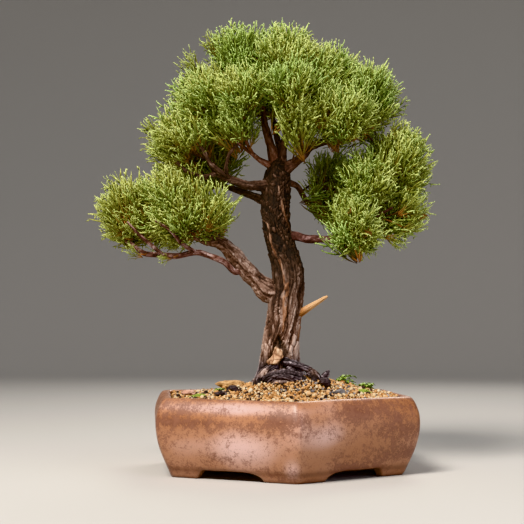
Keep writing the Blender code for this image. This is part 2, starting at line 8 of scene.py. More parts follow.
# %% Load the frame
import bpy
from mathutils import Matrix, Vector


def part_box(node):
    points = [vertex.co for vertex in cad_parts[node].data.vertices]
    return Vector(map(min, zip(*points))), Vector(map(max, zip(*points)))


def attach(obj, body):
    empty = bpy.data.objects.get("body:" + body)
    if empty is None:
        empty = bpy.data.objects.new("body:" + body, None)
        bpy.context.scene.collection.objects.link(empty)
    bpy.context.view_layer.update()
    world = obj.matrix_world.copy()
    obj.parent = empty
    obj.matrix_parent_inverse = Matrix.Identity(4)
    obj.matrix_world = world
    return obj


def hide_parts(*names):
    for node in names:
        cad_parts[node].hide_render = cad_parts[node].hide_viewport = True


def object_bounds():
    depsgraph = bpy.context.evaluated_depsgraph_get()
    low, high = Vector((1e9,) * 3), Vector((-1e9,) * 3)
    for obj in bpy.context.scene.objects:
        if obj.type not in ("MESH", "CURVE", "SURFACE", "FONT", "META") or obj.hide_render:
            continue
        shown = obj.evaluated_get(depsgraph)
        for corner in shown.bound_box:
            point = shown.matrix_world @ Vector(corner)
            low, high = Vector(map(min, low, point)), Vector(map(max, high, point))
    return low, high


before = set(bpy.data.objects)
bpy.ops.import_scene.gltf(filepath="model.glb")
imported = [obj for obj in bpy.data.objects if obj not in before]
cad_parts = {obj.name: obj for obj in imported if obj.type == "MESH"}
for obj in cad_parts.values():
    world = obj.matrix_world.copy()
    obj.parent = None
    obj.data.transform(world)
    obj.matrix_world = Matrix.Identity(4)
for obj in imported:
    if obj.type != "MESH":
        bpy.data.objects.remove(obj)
cad_box = [list(corner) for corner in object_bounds()]

import itertools
import math

import bmesh
import bpy
import numpy as np
from mathutils import Vector
from mathutils.bvhtree import BVHTree

MM = 0.001
print("CAD box in mm:", [[round(value / MM, 1) for value in corner] for corner in cad_box])

# %% [markdown]
# The pot's own axis is the natural centre to lay things out from. Routes and outlines below are written
# around that axis, just as a potter or a grower would measure them, and one function moves them to the
# object's frame.

# %% The pot's axis
pot_low, pot_high = (np.array(corner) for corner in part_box("pot"))
AXIS = (pot_low + pot_high) / 2 * (1, 1, 0)
print("the pot's axis stands at", AXIS.round(4))


# %% [markdown]
# Colours are written as the sRGB hex values that a colour picker shows, but Blender's shaders add up light,
# so every one of them goes through the same curve to become linear.

# %% Colours
def linear(hex_colour):
    """#RRGGBB as linear red, green, blue and an alpha of 1."""
    channels = [int(hex_colour[i:i + 2], 16) / 255 for i in (1, 3, 5)]
    return (*[c / 12.92 if c <= 0.04045 else ((c + 0.055) / 1.055) ** 2.4 for c in channels], 1.0)


# %% [markdown]
# A material is a small graph. One helper adds any node with its settings, its input values or links and,
# for a colour ramp, its stops. A second one starts a material with the numbers that are the same all over
# its surface.

# %% Materials
def add(tree, kind, inputs=None, stops=None, **settings):
    """Adds one shader node. An input is a plain value, or another node's output to link from."""
    made = tree.nodes.new("ShaderNode" + kind)
    for name, value in settings.items():
        setattr(made, name, value)
    for socket, value in (inputs or {}).items():
        if isinstance(value, bpy.types.NodeSocket):
            tree.links.new(value, made.inputs[socket])
        else:
            made.inputs[socket].default_value = value
    if stops:
        elements = made.color_ramp.elements
        while len(elements) < len(stops):
            elements.new(1.0)
        for element, (place, colour) in zip(elements, stops):
            element.position = place
            element.color = linear(colour)
    return made


def start_material(name, constants):
    """A material whose shader holds these constant values: returns it with its tree and its shader."""
    material = bpy.data.materials.new(name)
    material.use_nodes = True
    shader = material.node_tree.nodes["Principled BSDF"]
    for socket, value in constants.items():
        shader.inputs[socket].default_value = value
    return material, material.node_tree, shader


# %% [markdown]
# Natural surfaces need randomness that can be repeated, so it comes from the place itself and not from a
# dice: each whole-number cell of space has its own fixed random number. Value noise blends smoothly between
# them. It runs on whole arrays of points at once, which is what makes fine relief quick.

# %% Smooth noise
def scatter(cells, seed):
    """A fixed random number from 0 to 1 for each whole-number cell."""
    n = np.asarray(cells).astype(np.int64)
    mixed = (n[..., 0] * 374761393 + n[..., 1] * 668265263 + n[..., 2] * 1440662683 + seed * 974634777)
    mixed &= 0xFFFFFFFF
    mixed = ((mixed ^ (mixed >> 13)) * 1274126177) & 0xFFFFFFFF
    return ((mixed ^ (mixed >> 16)) & 0xFFFFF) / 0xFFFFF


def noise3(points, seed=0):
    """Smooth noise from 0 to 1 with about one wave to a unit of length."""
    cell = np.floor(points)
    part = points - cell
    part = part * part * (3 - 2 * part)
    total = 0.0
    for corner in itertools.product((0, 1), repeat=3):
        share = np.prod(np.where(np.array(corner) == 1, part, 1 - part), axis=-1)
        total = total + share * scatter(cell + corner, seed)
    return total


# %% [markdown]
# Cell noise scatters one seed point in each cell and measures how far away the nearest two are. Where they
# are equally far runs a crack, so it draws plates: of bark, or of splintering wood.

# %% Cracks between plates
def plates3(points, seed=0):
    """For each point: distance to the nearest crack, its plate's random number, and the way to its seed."""
    cell = np.floor(points)
    nearest = np.full(points.shape[:-1], 9.0)
    second = nearest.copy()
    own = np.zeros_like(nearest)
    offset = np.zeros_like(points)
    for corner in itertools.product((-1, 0, 1), repeat=3):
        here = cell + corner
        middle = here + np.stack([scatter(here, seed + k) for k in (1, 2, 3)], -1)
        away = np.linalg.norm(points - middle, axis=-1)
        closer = away < nearest
        second = np.where(closer, nearest, np.minimum(second, away))
        own = np.where(closer, scatter(here, seed + 4), own)
        offset = np.where(closer[..., None], points - middle, offset)
        nearest = np.where(closer, away, nearest)
    return second - nearest, own, offset


# %% [markdown]
# Two small helpers are used all through: one lays three coordinates together, the other is the soft step that
# fades one thing into another.

# %% Coordinates and soft steps
def xyz(x, y, z):
    """Three arrays, stretched to one shape, as an array of points."""
    return np.stack(np.broadcast_arrays(x, y, z), -1).astype(float)


def step_up(value, low, high):
    """0 below low, 1 above high, and a soft step between."""
    part = np.clip((value - low) / (high - low), 0, 1)
    return part * part * (3 - 2 * part)


# %% [markdown]
# A piece is one or more closed shells joined in one mesh. Each shell carries its points, its faces, where
# each face lies on the flat map that its colours are kept on, and any values that the material reads, such
# as how high a point stands on the bark. The flat map's name is fixed, because the tool that keeps the
# colours looks for it.

# %% Turn arrays into pieces
COLOUR_MAP = "OFBake"


def make_mesh(name, shells):
    """One Blender mesh from shells: dicts of points, faces, map (or None) and values."""
    counts = np.cumsum([0] + [len(shell["points"]) for shell in shells])
    faces = [face + start for shell, start in zip(shells, counts) for face in shell["faces"] if len(face)]
    corners = np.concatenate([face.ravel() for face in faces]).astype(np.int32)
    sizes = np.concatenate([np.full(len(face), face.shape[1]) for face in faces])
    mesh = bpy.data.meshes.new(name)
    mesh.vertices.add(int(counts[-1]))
    points = np.concatenate([shell["points"] for shell in shells])
    mesh.vertices.foreach_set("co", points.astype(np.float32).ravel())
    mesh.loops.add(len(corners))
    mesh.loops.foreach_set("vertex_index", corners)
    mesh.polygons.add(len(sizes))
    mesh.polygons.foreach_set("loop_start", np.concatenate([[0], np.cumsum(sizes)[:-1]]).astype(np.int32))
    mesh.polygons.foreach_set("use_smooth", np.ones(len(sizes), bool))
    mesh.update(calc_edges=True)
    if shells[0].get("map") is not None:
        flat_map = mesh.uv_layers.new(name=COLOUR_MAP)
        places = np.concatenate([part.reshape(-1, 2) for shell in shells for part in shell["map"]])
        flat_map.uv.foreach_set("vector", places.astype(np.float32).ravel())
    for value in shells[0].get("values", {}):
        column = np.concatenate([shell["values"][value] for shell in shells]).astype(np.float32)
        mesh.attributes.new(value, "FLOAT", "POINT").data.foreach_set("value", column)
    return mesh


def add_piece(name, mesh, material, slot, *stands_for):
    """Puts a mesh in the scene as a piece of the object, riding on its one body."""
    made = bpy.data.objects.new(name, mesh)
    bpy.context.collection.objects.link(made)
    mesh.materials.append(material)
    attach(made, "root")
    if stands_for:
        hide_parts(*stands_for)
    print(f"{name}: {len(mesh.polygons)} faces")
    return made


# %% [markdown]
# ## The studio
# The camera stands level with the foot of the trunk, a little over a metre away, and looks slightly up
# through a portrait lens, as one would to flatter a small tree. The neutral view keeps the colours as they
# are made.

# %% Camera
EYE_DISTANCE = 1.237
EYE_HEIGHT = 0.1442
EYE_SIDE = -0.0194
LOOK_UP = 0.049  # radians

camera_data = bpy.data.cameras.new("portrait_lens")
camera_data.lens = 85
camera_data.sensor_width = 36
camera_data.clip_start = 0.05
camera = bpy.data.objects.new("camera", camera_data)
camera.location = (AXIS[0] + EYE_SIDE, AXIS[1] - EYE_DISTANCE, EYE_HEIGHT)
camera.rotation_euler = (math.pi / 2 + LOOK_UP, 0, 0)
bpy.context.collection.objects.link(camera)
bpy.context.scene.camera = camera
bpy.context.scene.view_settings.view_transform = "Khronos PBR Neutral"
print("the camera stands at", [round(value, 3) for value in camera.location])


# %% [markdown]
# One big soft light hangs to the upper left in front, as a window would. Weaker ones open the shadows from
# the right and from behind, and a dim even sky fills the rest. Each is wide and spread, because hard light
# would turn thousands of fine shoots into noise.

# %% Light
SPREAD = math.radians(135)


def soft_light(name, place, size, watts, colour):
    """A square soft light that faces the middle of the tree."""
    data = bpy.data.lights.new(name, "AREA")
    data.size = size
    data.energy = watts
    data.color = linear(colour)[:3]
    data.spread = SPREAD
    made = bpy.data.objects.new(name, data)
    made.location = place
    middle = Vector((0, 0, (cad_box[0][2] + cad_box[1][2]) / 2))
    made.rotation_euler = (middle - made.location).to_track_quat("-Z", "Y").to_euler()
    bpy.context.collection.objects.link(made)


soft_light("window", (-0.75, -1.30, 1.75), 0.8, 42, "#fff8ef")
soft_light("fill", (1.3, -1.3, 0.55), 1.2, 7, "#f4f5ff")
soft_light("back", (0.5, 1.5, 1.3), 1.0, 8, "#fffaf2")

world = bpy.data.worlds.new("studio")
world.use_nodes = True
world.node_tree.nodes["Background"].inputs["Color"].default_value = linear("#dcdcde")
world.node_tree.nodes["Background"].inputs["Strength"].default_value = 0.36
bpy.context.scene.world = world

# %% [markdown]
# The floor is matt pale paint. A seam behind the object would draw the eye, so the floor bends up into a
# round wall far away, the way a studio's paper backdrop does. It is one profile, spun round the upright axis.

# %% Floor
COVE_RADIUS = 3.8
COVE_BEND = 1.6
COVE_HEIGHT = 2.8
turn = np.linspace(0, math.pi / 2, 24)
reach = np.concatenate([[0.02], COVE_RADIUS - COVE_BEND * (1 - np.sin(turn)), [COVE_RADIUS]])
rise = np.concatenate([[0.0], COVE_BEND * (1 - np.cos(turn)), [COVE_HEIGHT]])
floor_mesh = bmesh.new()
spine = [floor_mesh.verts.new((out, 0, up)) for out, up in zip(reach, rise)]
edges = [floor_mesh.edges.new(pair) for pair in zip(spine, spine[1:])]
bmesh.ops.spin(
    floor_mesh, geom=spine + edges, cent=(0, 0, 0), axis=(0, 0, 1), angle=2 * math.pi, steps=96,
    use_merge=True,
)
bmesh.ops.holes_fill(floor_mesh, edges=[edge for edge in floor_mesh.edges if edge.is_boundary], sides=100)
lid = [face for face in floor_mesh.faces if face.calc_center_median().z > COVE_HEIGHT - 1e-3]
bmesh.ops.delete(floor_mesh, geom=lid, context="FACES")
bmesh.ops.recalc_face_normals(floor_mesh, faces=floor_mesh.faces)
floor_data = bpy.data.meshes.new("floor")
floor_mesh.to_mesh(floor_data)
floor_mesh.free()
floor_data.polygons.foreach_set("use_smooth", np.ones(len(floor_data.polygons), bool))
floor = bpy.data.objects.new("floor", floor_data)
bpy.context.collection.objects.link(floor)
paint, _, paint_shader = start_material("matt_paint", {"Roughness": 0.9})
paint_shader.inputs["Base Color"].default_value = linear("#bfbdba")
floor_data.materials.append(paint)

# %% [markdown]
# ## The pot
# The pot is stoneware, pressed in a mould or built from slabs, and its six sides swell to a belly and draw
# in again under a soft lip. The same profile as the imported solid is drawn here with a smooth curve, and the
# arches between the feet and the drain holes are cut out. A voxel remesh then turns the cut solid into one
# even skin. That is what wet clay needs: smoothing it rounds every edge by a millimetre or two, the way a
# sponge does.

# %% The pot's sizes
POT_TURN = math.radians(5.2)
FOOT_CORNER = 127.2 * MM  # from the pot's axis to a corner of its foot
CORNER_ROUNDING = 8 * MM
WALL = 11.5 * MM  # measured along a corner
FLOOR_BOTTOM = 9.5 * MM
FLOOR_TOP = 17.5 * MM
RIM_WIDTH = 7 * MM
POT_HEIGHT = pot_high[2]
LIP_REACH = 7.3 * MM
# The wall's profile in mm: outward from the foot's corner, and height.
BELLY = [
    (0, 0), (2, 4), (7, 14), (12, 25), (15.5, 36), (17.3, 48), (16.8, 57), (14.5, 64), (11.5, 70), (9, 73),
    (LIP_REACH / MM, POT_HEIGHT / MM),
]
print("the pot is", round(POT_HEIGHT / MM, 1), "mm high")

# %% [markdown]
# A Catmull-Rom curve passes through every station it is given and bends smoothly between them, as a wall
# swells or a branch grows. The same function serves the pot's profile and every limb of the tree. A loft
# then joins the rings that stand along such a curve.

# %% Smooth curves and lofts
def smooth_stations(stations, step):
    """Points `step` apart on a smooth curve through stations in mm: distances along it, and the points."""
    rows = np.array([stations[0], *stations, stations[-1]]) * MM
    t = np.linspace(0, 1, 16, endpoint=False)[:, None]
    spans = [
        0.5 * (2 * b + (c - a) * t + (2 * a - 5 * b + 4 * c - d) * t**2 + (3 * b - a - 3 * c + d) * t**3)
        for a, b, c, d in zip(rows, rows[1:], rows[2:], rows[3:])
    ]
    dense = np.concatenate([*spans, rows[-1:]])
    place = dense[:, :3]
    length = np.concatenate([[0], np.cumsum(np.linalg.norm(np.diff(place, axis=0), axis=1))])
    along = np.linspace(0, length[-1], max(round(length[-1] / step), 2) + 1)
    return along, np.stack([np.interp(along, length, column) for column in dense.T], 1)


def six_sided(corner, height, arc_steps=8):
    """A level six-sided ring with rounded corners, around the pot's axis."""
    rounding = min(CORNER_ROUNDING, corner * 0.45)
    centre = corner - rounding / math.cos(math.pi / 6)
    heading = POT_TURN + np.repeat(np.arange(6) * math.pi / 3, arc_steps + 1)
    bend = heading + np.tile(np.radians(np.linspace(-30, 30, arc_steps + 1)), 6)
    x = centre * np.sin(heading) + rounding * np.sin(bend)
    y = -centre * np.cos(heading) - rounding * np.cos(bend)
    return np.stack([x, y, np.full_like(x, height)], 1) + AXIS


def ring_quads(rows, sides):
    """Row and column numbers of the quads between rings of points, and the quads' corners."""
    i, j = np.meshgrid(np.arange(rows - 1), np.arange(sides), indexing="ij")
    after = (j + 1) % sides
    quads = np.stack([i * sides + j, i * sides + after, (i + 1) * sides + after, (i + 1) * sides + j], -1)
    return i, j, quads.reshape(-1, 4)


def loft_shell(rings):
    """A closed shell through rings of equal length, with flat ends."""
    rings = np.array(rings)
    rows, sides = rings.shape[:2]
    first = np.arange(sides)[None, ::-1]
    last = (rows - 1) * sides + np.arange(sides)[None]
    return {"points": rings.reshape(-1, 3), "faces": [ring_quads(rows, sides)[2], first, last]}


# %% [markdown]
# The first two rings are the inside of the skirt, which stands below the floor. The others run up the
# outside from the foot, over the lip with its small bevel, and down the inside to the floor.

# %% The pot's rings
belly = smooth_stations([(out, 0.0, z) for out, z in BELLY], 2.0 * MM)[1][:, (0, 2)]
inner = [(np.interp(z, belly[:, 1], belly[:, 0]) - WALL, z) for z in np.linspace(66 * MM, 25 * MM, 10)]
pot_rings = [six_sided(FOOT_CORNER - WALL, FLOOR_BOTTOM), six_sided(FOOT_CORNER - WALL, 0.0)]
pot_rings += [six_sided(FOOT_CORNER + out, z) for out, z in belly]
rim = FOOT_CORNER + LIP_REACH - RIM_WIDTH
pot_rings += [six_sided(rim, POT_HEIGHT), six_sided(rim - 1.2 * MM, POT_HEIGHT - 1.2 * MM)]
pot_rings += [six_sided(FOOT_CORNER + out, z) for out, z in inner]
pot_rings += [six_sided(FOOT_CORNER + inner[-1][0] - 6 * MM, FLOOR_TOP)]
print("the pot's wall is lofted through", len(pot_rings), "rings")

# %% [markdown]
# Each arch between two feet has one long curved flank and one short steep one, and they swap from side to
# side. The three drain holes are plain bores through the floor.

# %% Arches and drain holes
CUT_HEIGHT = 8.3 * MM
LONG_FLANK = (33 * MM, 20 * MM)  # distance from its corner, and length
SHORT_FLANK = (27 * MM, 5 * MM)
DRAIN_RADIUS = 9 * MM
DRAIN_CIRCLE = 62 * MM
DRAIN_SIDES = 48
BELOW_FLOOR = -2 * MM


def arch_cutter(side):
    """The block that opens one side of the skirt."""
    half = FOOT_CORNER / 2
    outline = [(LONG_FLANK[0] - half - 1 * MM, BELOW_FLOOR)]
    for turn in np.linspace(math.pi / 2, 0, 12):
        across = LONG_FLANK[0] + LONG_FLANK[1] * (1 - math.sin(turn)) - half
        outline.append((across, CUT_HEIGHT * math.cos(turn)))
    outline += [(half - SHORT_FLANK[0] - SHORT_FLANK[1], CUT_HEIGHT), (half - SHORT_FLANK[0], 1 * MM)]
    outline += [(half - SHORT_FLANK[0], BELOW_FLOOR)]
    heading = POT_TURN + math.radians(30 + 60 * side)
    outward = np.array([math.sin(heading), -math.cos(heading), 0])
    along = np.array([math.cos(heading), math.sin(heading), 0]) * (1 if side % 2 == 0 else -1)
    skirt = FOOT_CORNER * math.cos(math.pi / 6)
    up = np.array([0, 0, 1.0])
    ends = (skirt - 16 * MM, skirt + 14 * MM)
    return loft_shell([[AXIS + outward * reach + along * s + up * z for s, z in outline] for reach in ends])


def drain_cutter(index):
    """The plug that bores one drain hole."""
    heading = POT_TURN + math.radians(30 + 120 * index)
    centre = AXIS + DRAIN_CIRCLE * np.array([math.sin(heading), -math.cos(heading), 0])
    turn = np.linspace(0, 2 * math.pi, DRAIN_SIDES, endpoint=False)
    ring = np.stack([np.cos(turn), np.sin(turn), 0 * turn], 1) * DRAIN_RADIUS + centre
    return loft_shell([ring, ring + (0, 0, 2 * FLOOR_TOP)])


def outward_mesh(name, shells):
    """A plain mesh of closed shells with all faces turned outward."""
    mesh = make_mesh(name, shells)
    work = bmesh.new()
    work.from_mesh(mesh)
    bmesh.ops.recalc_face_normals(work, faces=work.faces)
    work.to_mesh(mesh)
    work.free()
    return mesh


# %% [markdown]
# The cutters are joined in one mesh, so one boolean opens everything. The remesh voxel is a little under
# two millimetres: fine enough for the lip and the arches, coarse enough to leave a skin that is light to
# handle.

# %% Cut, reskin and sponge the pot
POT_VOXEL = 1.65 * MM
cutter_shells = [arch_cutter(side) for side in range(6)] + [drain_cutter(index) for index in range(3)]
raw_pot = bpy.data.objects.new("raw_pot", outward_mesh("raw_pot", [loft_shell(pot_rings)]))
cutters = bpy.data.objects.new("cutters", outward_mesh("cutters", cutter_shells))
for helper in (raw_pot, cutters):
    bpy.context.collection.objects.link(helper)
openings = raw_pot.modifiers.new("openings", "BOOLEAN")
openings.object = cutters
skin = raw_pot.modifiers.new("even_skin", "REMESH")
skin.mode = "VOXEL"
skin.voxel_size = POT_VOXEL
sponge = raw_pot.modifiers.new("sponged_edges", "SMOOTH")
sponge.iterations = 5
sponge.factor = 0.5
bpy.context.view_layer.update()
pot_mesh = bpy.data.meshes.new_from_object(raw_pot.evaluated_get(bpy.context.evaluated_depsgraph_get()))
for helper in (raw_pot, cutters):
    bpy.data.objects.remove(helper)
print("the pot's skin has", len(pot_mesh.polygons), "faces")


# %% [markdown]
# Hand-finished clay is never true. The skin moves in and out by a few tenths of a millimetre in slow waves,
# which is what bends the highlights on the shoulder. The same points also get painted values: how mottled
# the glaze is there, how pale, and how dark near the bottom. On the two front sides they follow the way the
# kiln marked the pot: a purple-brown cloud left of the front corner, a wavy dark band, a smooth pale field,
# and thick mottling on the right. The pale value also paints highlights: a pink-white band along the left
# shoulder and a narrow stripe low at the front corner, where the window light would gleam. The glaze is
# darker at the very bottom and in a band at the height of the arches' tops.

# %% The pot's waves, kiln marks and painted highlights
# Each mark: bearing from the front corner in degrees, height in mm, half-width in degrees, half-height in mm,
# and amount.
MOTTLE_MARKS = [
    (-7, 60, 7, 6, 0.55), (-38, 52, 20, 3.5, 0.42), (-54, 60, 8, 9, 0.10), (-27, 31, 22, 13, -0.26),
    (12, 42, 11, 11, -0.30), (30, 62, 18, 8, 0.30), (50, 42, 12, 20, 0.30), (24, 14, 12, 8, 0.14),
    (-50, 12, 9, 9, 0.16), (-12, 10, 10, 8, 0.05),
]
# The last pale mark, a band along the left shoulder, and the narrow one low at the front corner are painted
# highlights; the others are paler glaze.
PALE_AND_SHEEN_MARKS = [(-27, 32, 24, 15, 0.55), (12, 42, 10, 11, 0.40), (-2, 12, 3, 9, 0.45), (-32, 66, 28, 5, 0.70)]


def marks(points, table):
    """The sum of soft oval marks on the pot's wall."""
    away = points - AXIS
    bearing = np.degrees(np.arctan2(away[:, 0], -away[:, 1]) - POT_TURN)
    bearing = (bearing + 180) % 360 - 180
    total = np.zeros(len(points))
    for middle, height, half_width, half_height, amount in table:
        apart = (bearing - middle) / half_width
        rise = (points[:, 2] / MM - height) / half_height
        total += amount * np.exp(-(apart**2 + rise**2) / 1.2)
    return total


points = np.array([vertex.co for vertex in pot_mesh.vertices])
normals = np.array([vertex.normal for vertex in pot_mesh.vertices])
wave = noise3(points / (34 * MM), 3) - 0.5
ripple = noise3(points / (9 * MM), 4) - 0.5
fade_at_feet = step_up(points[:, 2], 1 * MM, 6 * MM)
points += normals * ((wave * 0.9 + ripple * 0.18) * MM * fade_at_feet)[:, None]
pot_mesh.vertices.foreach_set("co", points.astype(np.float32).ravel())
pot_mesh.polygons.foreach_set("use_smooth", np.ones(len(pot_mesh.polygons), bool))
bands = noise3((points - AXIS) / (30 * MM, 30 * MM, 11 * MM), 5)
mottle = 0.10 + 0.75 * bands + marks(points, MOTTLE_MARKS)
pale = 0.25 + 0.5 * (noise3(points / (28 * MM), 6) - 0.5) + marks(points, PALE_AND_SHEEN_MARKS)
# Darker at the very bottom and in a band at the height of the arches' tops.
darker_low = np.exp(-points[:, 2] / (2.2 * MM)) + 0.6 * np.exp(-((points[:, 2] - CUT_HEIGHT) / (3 * MM)) ** 2)
for name, column in {"mottle": mottle, "pale": pale, "foot": darker_low}.items():
    painted = pot_mesh.attributes.new(name, "FLOAT", "POINT")
    painted.data.foreach_set("value", column.clip(0, 1).astype(np.float32))
pot_mesh.update()
print("mottle", mottle.min().round(2), "to", mottle.max().round(2), "before it is clipped to 0 and 1")

# %% [markdown]
# Stoneware here wears a thin ash glaze, brushed on and fired with little air. It breaks from peach to
# orange-brown, and iron in the clay bleeds through it as a net of purple-brown specks. The pink-white top of
# the peach ramp is painted highlight, for the sheen on the shoulder and at the front corner. A fired glaze
# has an IOR near 1.5 and a soft gloss; where the specks are, it is rougher. The specks are about 1.5 mm
# across, drawn at their real size.

# %% Ash-glazed stoneware
SPECK = 1.5 * MM
CLOUD = 5 * MM
PINHOLE = 0.9 * MM
glaze, tree, shader = start_material("ash_glazed_stoneware", {"IOR": 1.5, "Coat Weight": 0.0})
place = add(tree, "TexCoord").outputs["Object"]
mottle_value = add(tree, "Attribute", attribute_name="mottle").outputs["Fac"]
pale_and_sheen_value = add(tree, "Attribute", attribute_name="pale").outputs["Fac"]
foot_value = add(tree, "Attribute", attribute_name="foot").outputs["Fac"]
PEACH_AND_SHEEN = [(0.08, "#9b6a49"), (0.45, "#ad7f64"), (0.9, "#d6b5ae")]
body = add(tree, "ValToRGB", {"Fac": pale_and_sheen_value}, stops=PEACH_AND_SHEEN)
speck_noise = {"Vector": place, "Scale": 1 / SPECK, "Detail": 3.0, "Roughness": 0.62, "Distortion": 0.6}
specks = add(tree, "TexNoise", speck_noise)
clouds = add(tree, "TexNoise", {"Vector": place, "Scale": 1 / CLOUD, "Detail": 2.0, "Roughness": 0.5})
both = add(tree, "Math", {0: specks.outputs["Fac"], 1: clouds.outputs["Fac"]}, operation="ADD")
dense = add(tree, "Math", {0: mottle_value, 1: 0.62, 2: both.outputs[0]}, operation="MULTIPLY_ADD")
net = add(tree, "MapRange", {"Value": dense.outputs[0], "From Min": 1.22, "From Max": 1.50})
iron = add(tree, "ValToRGB", {"Fac": clouds.outputs["Fac"]}, stops=[(0.35, "#633c31"), (0.7, "#815848")])
strength = add(tree, "Math", {0: net.outputs[0], 1: 0.82}, operation="MULTIPLY")
speckled = add(
    tree, "Mix", {0: strength.outputs[0], 6: body.outputs[0], 7: iron.outputs[0]}, data_type="RGBA"
)
fine = add(tree, "TexNoise", {"Vector": place, "Scale": 1 / PINHOLE, "Detail": 1.0})
pin = add(tree, "MapRange", {"Value": fine.outputs["Fac"], "From Min": 0.66, "From Max": 0.74})
pinned = add(tree, "Mix", {0: pin.outputs[0], 6: speckled.outputs[2], 7: linear("#7d5240")}, data_type="RGBA")
# The glaze darkens by the foot value: at the very bottom and at the arches' height.
darkened_low = add(tree, "Mix", {0: foot_value, 6: pinned.outputs[2], 7: linear("#5a3423")}, data_type="RGBA")
tree.links.new(darkened_low.outputs[2], shader.inputs["Base Color"])
rough = add(tree, "MapRange", {"Value": net.outputs[0], "To Min": 0.30, "To Max": 0.48})
tree.links.new(rough.outputs[0], shader.inputs["Roughness"])
pits = add(tree, "Bump", {"Height": specks.outputs["Fac"], "Strength": 0.35, "Distance": 0.25 * MM})
tree.links.new(pits.outputs[0], shader.inputs["Normal"])
add_piece("stoneware_pot", pot_mesh, glaze, "stoneware", "pot")

# %% [markdown]
# ## Drainage
# Under the soil a square of moulded plastic mesh covers each drain hole, held by a loop of aluminium wire
# bent out under the floor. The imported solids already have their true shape, so they stay and only get their
# finish. Moulded polypropylene has a faint grain from its tool and goes grey with lime; soft aluminium wire
# is drawn, so it is brushed along its length and dulled by its own oxide.

# %% Moulded mesh and drawn wire
screen_plastic, tree, shader = start_material("moulded_polypropylene", {"IOR": 1.49})
place = add(tree, "TexCoord").outputs["Object"]
lime = add(tree, "TexNoise", {"Vector": place, "Scale": 1 / (4 * MM), "Detail": 3.0})
tone = add(tree, "ValToRGB", {"Fac": lime.outputs["Fac"]}, stops=[(0.35, "#1d1d1e"), (0.75, "#4a4843")])
tree.links.new(tone.outputs[0], shader.inputs["Base Color"])
rough = add(tree, "MapRange", {"Value": lime.outputs["Fac"], "To Min": 0.45, "To Max": 0.8})
tree.links.new(rough.outputs[0], shader.inputs["Roughness"])

clip_wire, tree, shader = start_material("drawn_aluminium_wire", {"Metallic": 1.0})
place = add(tree, "TexCoord").outputs["Object"]
oxide = add(tree, "TexNoise", {"Vector": place, "Scale": 1 / (1.5 * MM), "Detail": 2.0})
tone = add(tree, "ValToRGB", {"Fac": oxide.outputs["Fac"]}, stops=[(0.3, "#8f8c86"), (0.7, "#c9c6c0")])
tree.links.new(tone.outputs[0], shader.inputs["Base Color"])
rough = add(tree, "MapRange", {"Value": oxide.outputs["Fac"], "To Min": 0.32, "To Max": 0.5})
tree.links.new(rough.outputs[0], shader.inputs["Roughness"])


def refinish(node, material):
    """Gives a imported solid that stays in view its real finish."""
    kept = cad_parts[node]
    kept.data.materials.clear()
    kept.data.materials.append(material)


for number in (1, 2, 3):
    refinish(f"drainage_screen_{number}", screen_plastic)
    refinish(f"screen_clip_{number}", clip_wire)

# %% [markdown]
# ## Soil
# Bonsai soil is not earth but grit: fired clay, pumice, lava and stone chippings, sieved to 2 to 5 mm so
# that water runs through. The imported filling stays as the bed, and loose grains lie on it. A grain is a
# small ball of points pressed against a few random planes, which leaves flat broken faces and blunt
# corners. A few such shapes, turned and stretched at random, give thousands of different grains.

# %% The mound and its outline
SOIL_EDGE = 70.8 * MM
MOUND_HEIGHT = 20 * MM
MOUND_CENTRE = AXIS[:2] + (15 * MM, 0.0)
MOUND_SPREAD = 45 * MM


def soil_height(x, y):
    """How high the grit stands at each place."""
    away = (x - MOUND_CENTRE[0]) ** 2 + (y - MOUND_CENTRE[1]) ** 2
    return SOIL_EDGE + MOUND_HEIGHT * np.exp(-away / (2 * MOUND_SPREAD**2))


def inside_pot(x, y, corner):
    """How far inside a six-sided outline each point is, in metres."""
    heading = POT_TURN + np.radians(30 + 60 * np.arange(6))
    out = np.stack([np.sin(heading), -np.cos(heading)], 1)
    reach = np.stack([x - AXIS[0], y - AXIS[1]], -1) @ out.T
    return corner * math.cos(math.pi / 6) - reach.max(-1)


# %% [markdown]
# A broken stone is a ball whose points are pulled in to the nearest of a few random planes. Random turns
# come from random quaternions, which spread evenly over all directions, where three random angles would
# crowd at the poles.

# %% Grain shapes
def ball(levels):
    """A ball of triangles: its points, all at distance 1, and its faces."""
    work = bmesh.new()
    bmesh.ops.create_icosphere(work, subdivisions=levels, radius=1.0)
    points = np.array([vertex.co for vertex in work.verts])
    faces = np.array([[vertex.index for vertex in face.verts] for face in work.faces])
    work.free()
    return points / np.linalg.norm(points, axis=1, keepdims=True), faces


def broken_stone(rng, levels, planes=9, depth=0.42):
    """A ball pressed against random planes."""
    points, faces = ball(levels)
    ways = rng.normal(size=(planes, 3))
    ways /= np.linalg.norm(ways, axis=1, keepdims=True)
    facing = points @ ways.T
    limit = rng.uniform(1 - depth, 0.95, planes)
    reach = np.where(facing > 0.05, limit / np.maximum(facing, 0.05), 9).min(1)
    return points * np.minimum(reach, 1.0)[:, None], faces


def random_turns(rng, count):
    """Rotation matrices, evenly spread."""
    q = rng.normal(size=(count, 4))
    w, x, y, z = (q / np.linalg.norm(q, axis=1, keepdims=True)).T
    return np.stack([
        np.stack([1 - 2 * (y * y + z * z), 2 * (x * y - z * w), 2 * (x * z + y * w)], -1),
        np.stack([2 * (x * y + z * w), 1 - 2 * (x * x + z * z), 2 * (y * z - x * w)], -1),
        np.stack([2 * (x * z - y * w), 2 * (y * z + x * w), 1 - 2 * (x * x + y * y)], -1),
    ], 1)


# %% [markdown]
# The grains are laid on a jittered grid, so that they cover the bed without clumping. Each draws its kind:
# orange fired clay and pale pumice make up most of it, dark lava gathers left of the trunk, grey chippings
# on the right. The colour map places each grain by its own tone, so one small map can hold thousands of
# grains.

